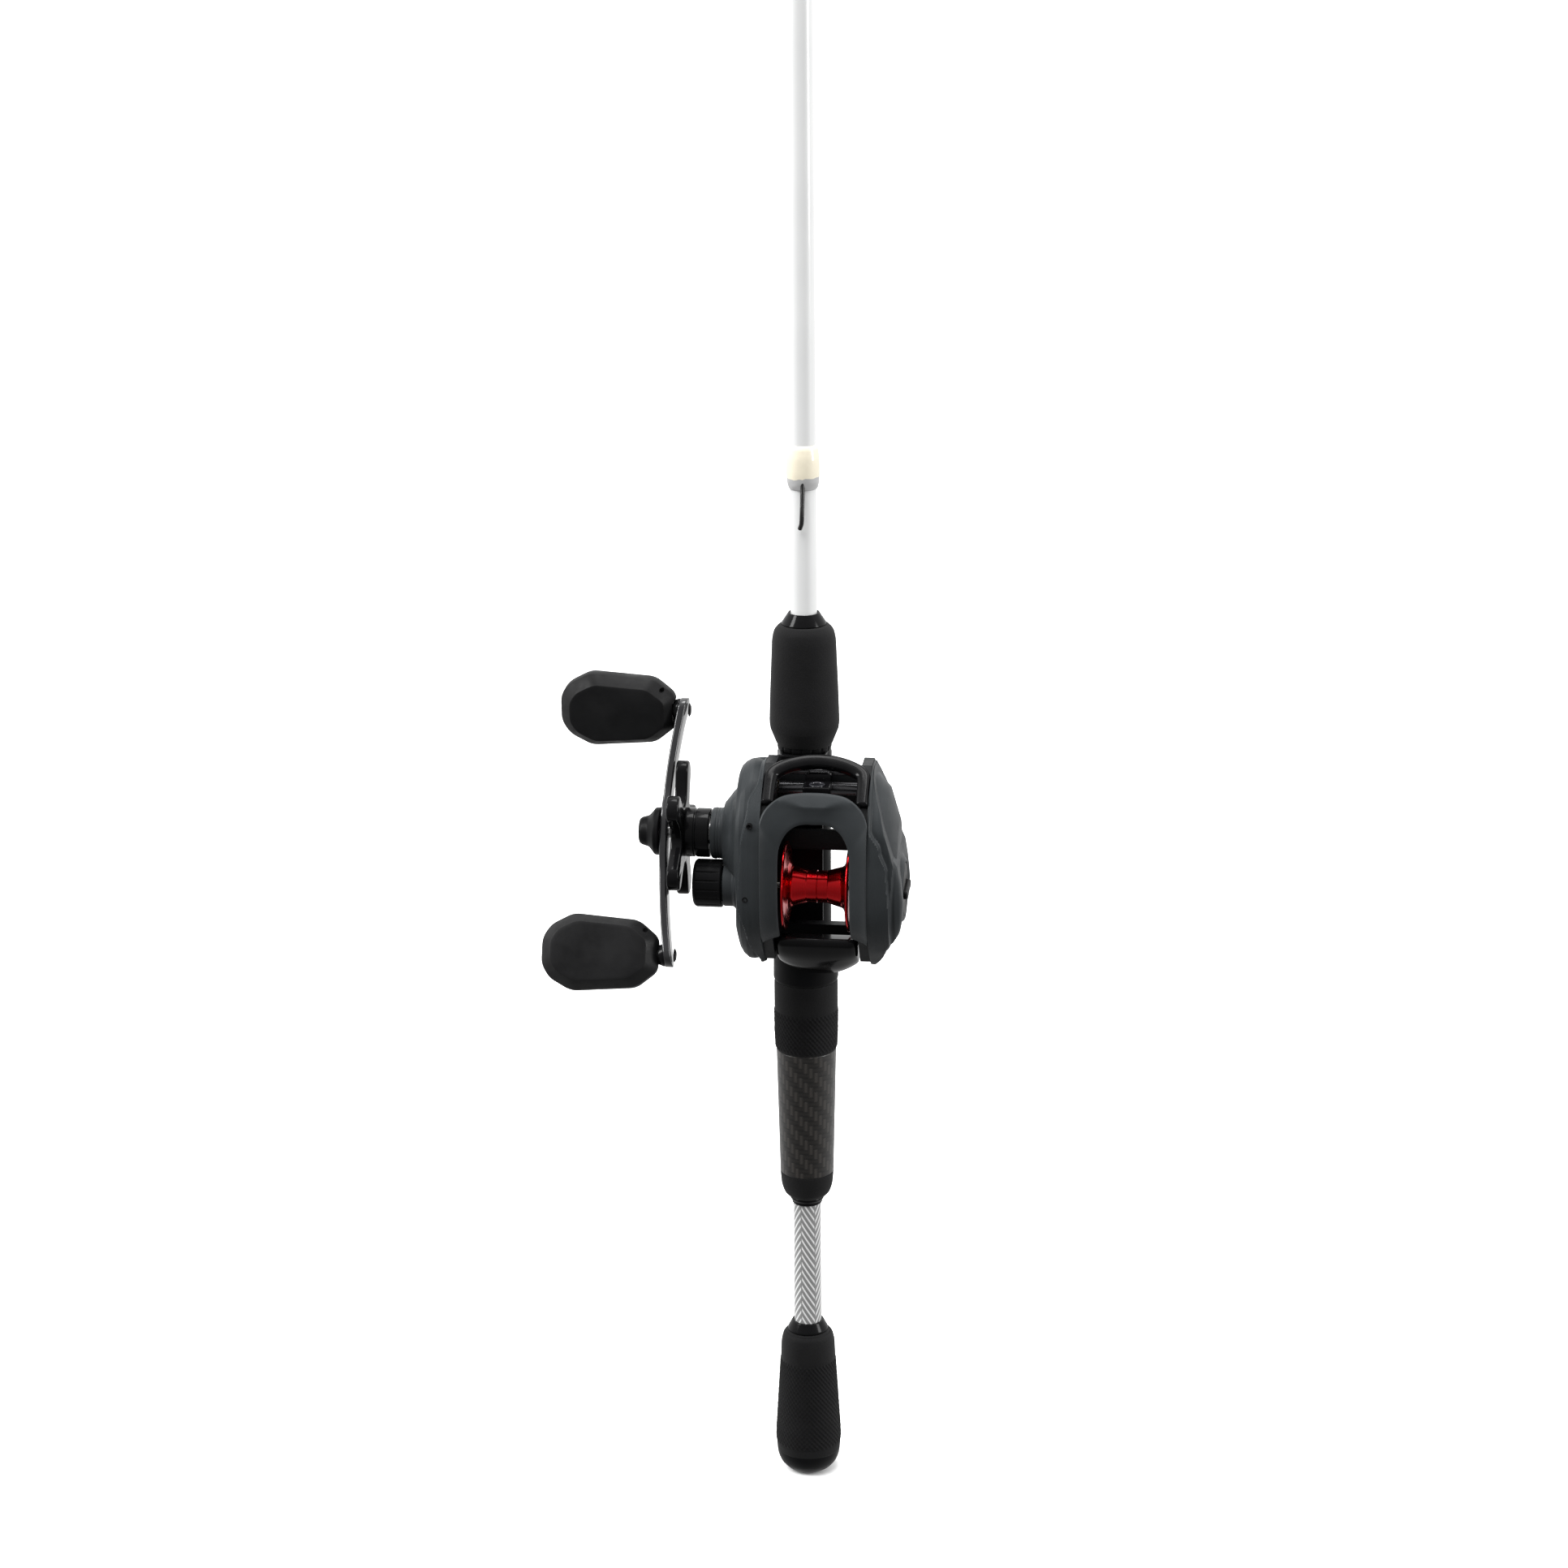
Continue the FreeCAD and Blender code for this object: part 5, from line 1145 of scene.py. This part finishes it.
levels = sorted({round(sign * REACH * (1 - (1 - k / 40) ** 2), 3) for k in range(41) for sign in (-1, 1)})
points = []
for level in levels:
    for x, across in arm_loop(level):
        points.append(HANDLE + LEAN @ Vector((x, across, level)))
arm_plate = shade_by_angle(outward(piece("arm_plate", points, capped_faces(len(levels), len(arm_loop(0))),
    "arm_black", body="crank")), 30)
merged("crank_arm", [arm_plate], body="crank", stands_for=["handle_arm"])
spindles = []
collars = []
for side in (1, -1):
    end_spot = HANDLE + LEAN @ Vector((0, 0, CRANK * side))
    collars.append(lathe("rivet", rounded([(0.02, -49.6, 0), (1.6, -49.7, 0.4), (2.5, -50.2, 0.3),
        (2.7, -50.55, 0.1), (0.02, -50.55, 0)], steps=4), "gloss_black", end_spot, AXIS_X, 48,
        body="crank"))
    collars.append(lathe("collar", rounded([(2.25, -53.5, 0), (4.3, -53.5, 0.2), (4.4, -54.4, 0.3),
        (3.7, -56.3, 0.3), (2.25, -56.3, 0)], steps=4), "gloss_black", end_spot, AXIS_X, 64,
        body="crank"))
    spindles.append(lathe("shaft", rounded([(0.02, -96, 0), (2.1, -96, 0.2), (2.1, -52, 0.1),
        (0.02, -52, 0)]), "gloss_black", end_spot, AXIS_X, 48, body="crank"))
merged("knob_spindles", spindles, body="crank", stands_for=["knob_pins"])
merged("knob_collars", collars, body="crank")

PADDLE = [(-56.4, -6.4), (-56.4, 6.4), (-64.4, 12.9), (-89.5, 14.8), (-98.0, 10.2), (-101.2, 5.0),
    (-101.2, -5.0), (-98.0, -10.2), (-89.5, -14.8), (-64.4, -12.9)]


def paddle(name, side, tilt, body, node):
    """A knob: a faceted paddle whose flat faces are framed by wide bevels."""
    spot = (DRIVE + Vector((-1.2, 0, 0)) if side > 0 else HANDLE) + LEAN @ Vector((0, 0, CRANK * side))
    turn = Matrix.Rotation(math.radians(tilt), 3, "X")
    outline = finer(rounded([(a, b, 2.6) for a, b in PADDLE], 2.6, 5), 1.6)
    middle_a = -78.6                        # where the bevels draw in to
    upper_half = [(1.1, 1, 1), (2.3, 0.99, 0.985), (6.8, 0.815, 0.775), (7.0, 0.75, 0.69)]
    levels_and_scale = [(-level, a, b) for level, a, b in reversed(upper_half)] + upper_half
    points = []
    for level, long_scale, wide_scale in levels_and_scale:
        for a, b in outline:
            along = middle_a + (a - middle_a) * long_scale
            near = smooth_step(-62, -57, along)
            points.append(spot + turn @ Vector((along, level * (1 - 0.18 * near), b * wide_scale)))
    faces = capped_faces(len(levels_and_scale), len(outline))
    made = outward(piece(name, points, faces, "knob_rubber", body=body, stands_for=[node]))
    bake(made, ("BEVEL", dict(width=0.35 * MM, segments=3, limit_method="ANGLE",
        angle_limit=math.radians(16))))
    cutters = [drill(2.26, -100, -50, spot, "knob_rubber", around=48)]
    if side > 0:
        cutters.append(drill(4.8, -57.8, -50, spot, "knob_rubber"))
    for flip in (-1, 1):
        capsule = box(-62.4, -60.6, 8.1, 9.8, 0.85, 5)
        points = []
        for level in (flip * 2.0, flip * 9.0):
            for a, b in capsule:
                points.append(spot + turn @ Vector((a, level, b)))
        cutters.append(outward(piece("cut", points, capped_faces(2, len(capsule)), "knob_rubber")))
    boolean(made, cutters)
    return shade_by_angle(made, 30)


paddle("upper_paddle", 1, 4, "knob_a", "upper_knob")
paddle("lower_paddle", -1, -24, "knob_b", "lower_knob")


# ---------------------------------------------------------------- brake dial
dial_outline = rounded([(2.95, 23.6, 0.1), (2.95, 31.7, 0.1), (10.2, 31.7, 0.1), (10.25, 32.7, 0.3),
    (9.7, 33.2, 0.4), (0.02, 33.2, 0), (0.02, 23.6, 0)], steps=4)
dial = lathe("dial_disc", dial_outline, "satin_black", REEL, AXIS_X, 128, body="dial",
    shape=lambda radius, along, angle: radius - (0.2 * max(0.0, math.cos(24 * angle)) ** 4
    if radius > 10 else 0))
finger = prism("dial_bar", box(-8.4, 8.4, -1.5, 1.5, 1.3, 5), 32.6, 34.7, "satin_black", REEL, AXIS_X,
    bevel=0.7, segments=4, body="dial")
merged("brake_knob", [dial, finger], body="dial", stands_for=["brake_dial"])


# ---------------------------------------------------------------- finishes of the CAD parts that stay
STAYING = {"frame_black": ["reel_frame"], "satin_black": ["reel_foot", "idler_gear", "worm_gear",
    "clutch_cam", "clutch_yoke"], "filler_foam": ["sleeve_arbor"],
    # the guide rod and worm shaft sit in shade under the front rail and take the dark guide steel instead of
    # bright steel: painted shade
    "guide_steel": ["guide_rod", "worm_shaft"], "bright_steel": ["anti_reverse_bearing", "clutch_sleeve",
    "drive_shaft", "foot_screws", "handle_nut", "pawl", "spool_bearings", "spool_shaft", "yoke_springs",
    "brake_magnets"], "gear_brass": ["main_gear", "pinion_gear", "bushings"],
    "drag_carbon": ["drag_washers"],}
for slot_name, names in STAYING.items():
    for name in names:
        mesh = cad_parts[name].data
        mesh.materials.clear()
        mesh.materials.append(MATERIALS[slot_name])
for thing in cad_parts.values():
    if not thing.hide_render:
        for polygon in thing.data.polygons:
            polygon.material_index = 0


# ---------------------------------------------------------------- floor, light and camera
PHOTO_SIDE, PHOTO_FOCAL = 1932, 4550        # the photo's side and the camera's focal length, in its pixels
def flat_material(name, colour, rough):
    made, tree, shader = new_material(name)
    spot, _ = place_sockets(tree)
    cloud = noise(tree, spot, 0.7, 2)
    low = [channel * 0.985 for channel in colour]
    tree.links.new(ramp(tree, cloud, [(0.3, low), (0.7, colour)]), shader.inputs["Base Color"])
    settle(shader, Roughness=rough, Specular_IOR_Level=0.2)
    return made


bpy.ops.mesh.primitive_plane_add(size=30, location=(0, 0, -0.0005))
floor = bpy.context.object
floor.name = "floor"
floor.data.materials.append(flat_material("pale floor", (0.9, 0.9, 0.9), 0.9))
floor.visible_diffuse = False
floor.visible_glossy = False

world = bpy.data.worlds.new("studio")
bpy.context.scene.world = world
world.use_nodes = True
world.node_tree.nodes["Background"].inputs[0].default_value = (1, 1, 1, 1)
light_path = add(world.node_tree, "ShaderNodeLightPath")
sky = add(world.node_tree, "ShaderNodeTexCoord")
parts = add(world.node_tree, "ShaderNodeSeparateXYZ")
world.node_tree.links.new(sky.outputs["Generated"], parts.inputs[0])
ranges = []
for axis_name, low, high, dim, bright in (("Y", -0.75, 0.15, 0.42, 1.35), ("Z", -0.6, 0.3, 0.5, 1.0)):
    made = add(world.node_tree, "ShaderNodeMapRange", From_Min=low, From_Max=high, To_Min=dim,
        To_Max=bright)
    world.node_tree.links.new(parts.outputs[axis_name], made.inputs["Value"])
    ranges.append(made.outputs["Result"])
surround = calc("MULTIPLY", *ranges)
glow = calc("MAXIMUM", surround, light_path.outputs["Is Camera Ray"])
world.node_tree.links.new(glow, world.node_tree.nodes["Background"].inputs[1])
bpy.context.scene.view_settings.view_transform = "Standard"
sun = bpy.data.lights.new("overhead", "SUN")
sun.energy = 3.4
sun.angle = math.radians(50)
sun_object = bpy.data.objects.new("overhead", sun)
bpy.context.scene.collection.objects.link(sun_object)
sun_object.rotation_euler = (math.radians(18), math.radians(-14), 0)
sun_object.visible_glossy = False


def soft_light(name, place, target, width, height, power):
    lamp = bpy.data.lights.new(name, "AREA")
    lamp.shape = "RECTANGLE"
    lamp.size = width
    lamp.size_y = height
    lamp.energy = power
    made = bpy.data.objects.new(name, lamp)
    bpy.context.scene.collection.objects.link(made)
    made.location = place
    made.rotation_euler = (Vector(target) - Vector(place)).to_track_quat("-Z", "Y").to_euler()
    return made


AIM = (0, 0, 0.29)
soft_light("key", (-1.5, -0.6, 1.3), AIM, 0.5, 1.1, 30)
soft_light("fill", (1.6, -0.3, 0.8), AIM, 0.5, 1.2, 20)
soft_light("top", (0.1, 0.3, 2.4), AIM, 1.0, 0.7, 18)

ELEVATION, AZIMUTH, ROLL = math.radians(17.5), math.radians(7.0), math.radians(0.44)
DISTANCE, AIM_HEIGHT, AIM_LEFT = 1.422, 0.2916, 0.00803
camera = bpy.data.cameras.new("camera")
camera.sensor_width = 36
camera.lens = PHOTO_FOCAL / PHOTO_SIDE * camera.sensor_width
camera.clip_start = 0.05
camera_object = bpy.data.objects.new("camera", camera)
bpy.context.scene.collection.objects.link(camera_object)
back = Vector((math.sin(AZIMUTH) * math.cos(ELEVATION), -math.cos(AZIMUTH) * math.cos(ELEVATION),
    math.sin(ELEVATION)))
right = Vector((math.cos(AZIMUTH), math.sin(AZIMUTH), 0))
aim = Vector((0, 0, AIM_HEIGHT)) - right * AIM_LEFT
camera_object.location = aim + back * DISTANCE
turn = (-back).to_track_quat("-Z", "Y").to_matrix()
camera_object.rotation_euler = (turn @ Matrix.Rotation(-ROLL, 3, "Z")).to_euler()
bpy.context.scene.camera = camera_object
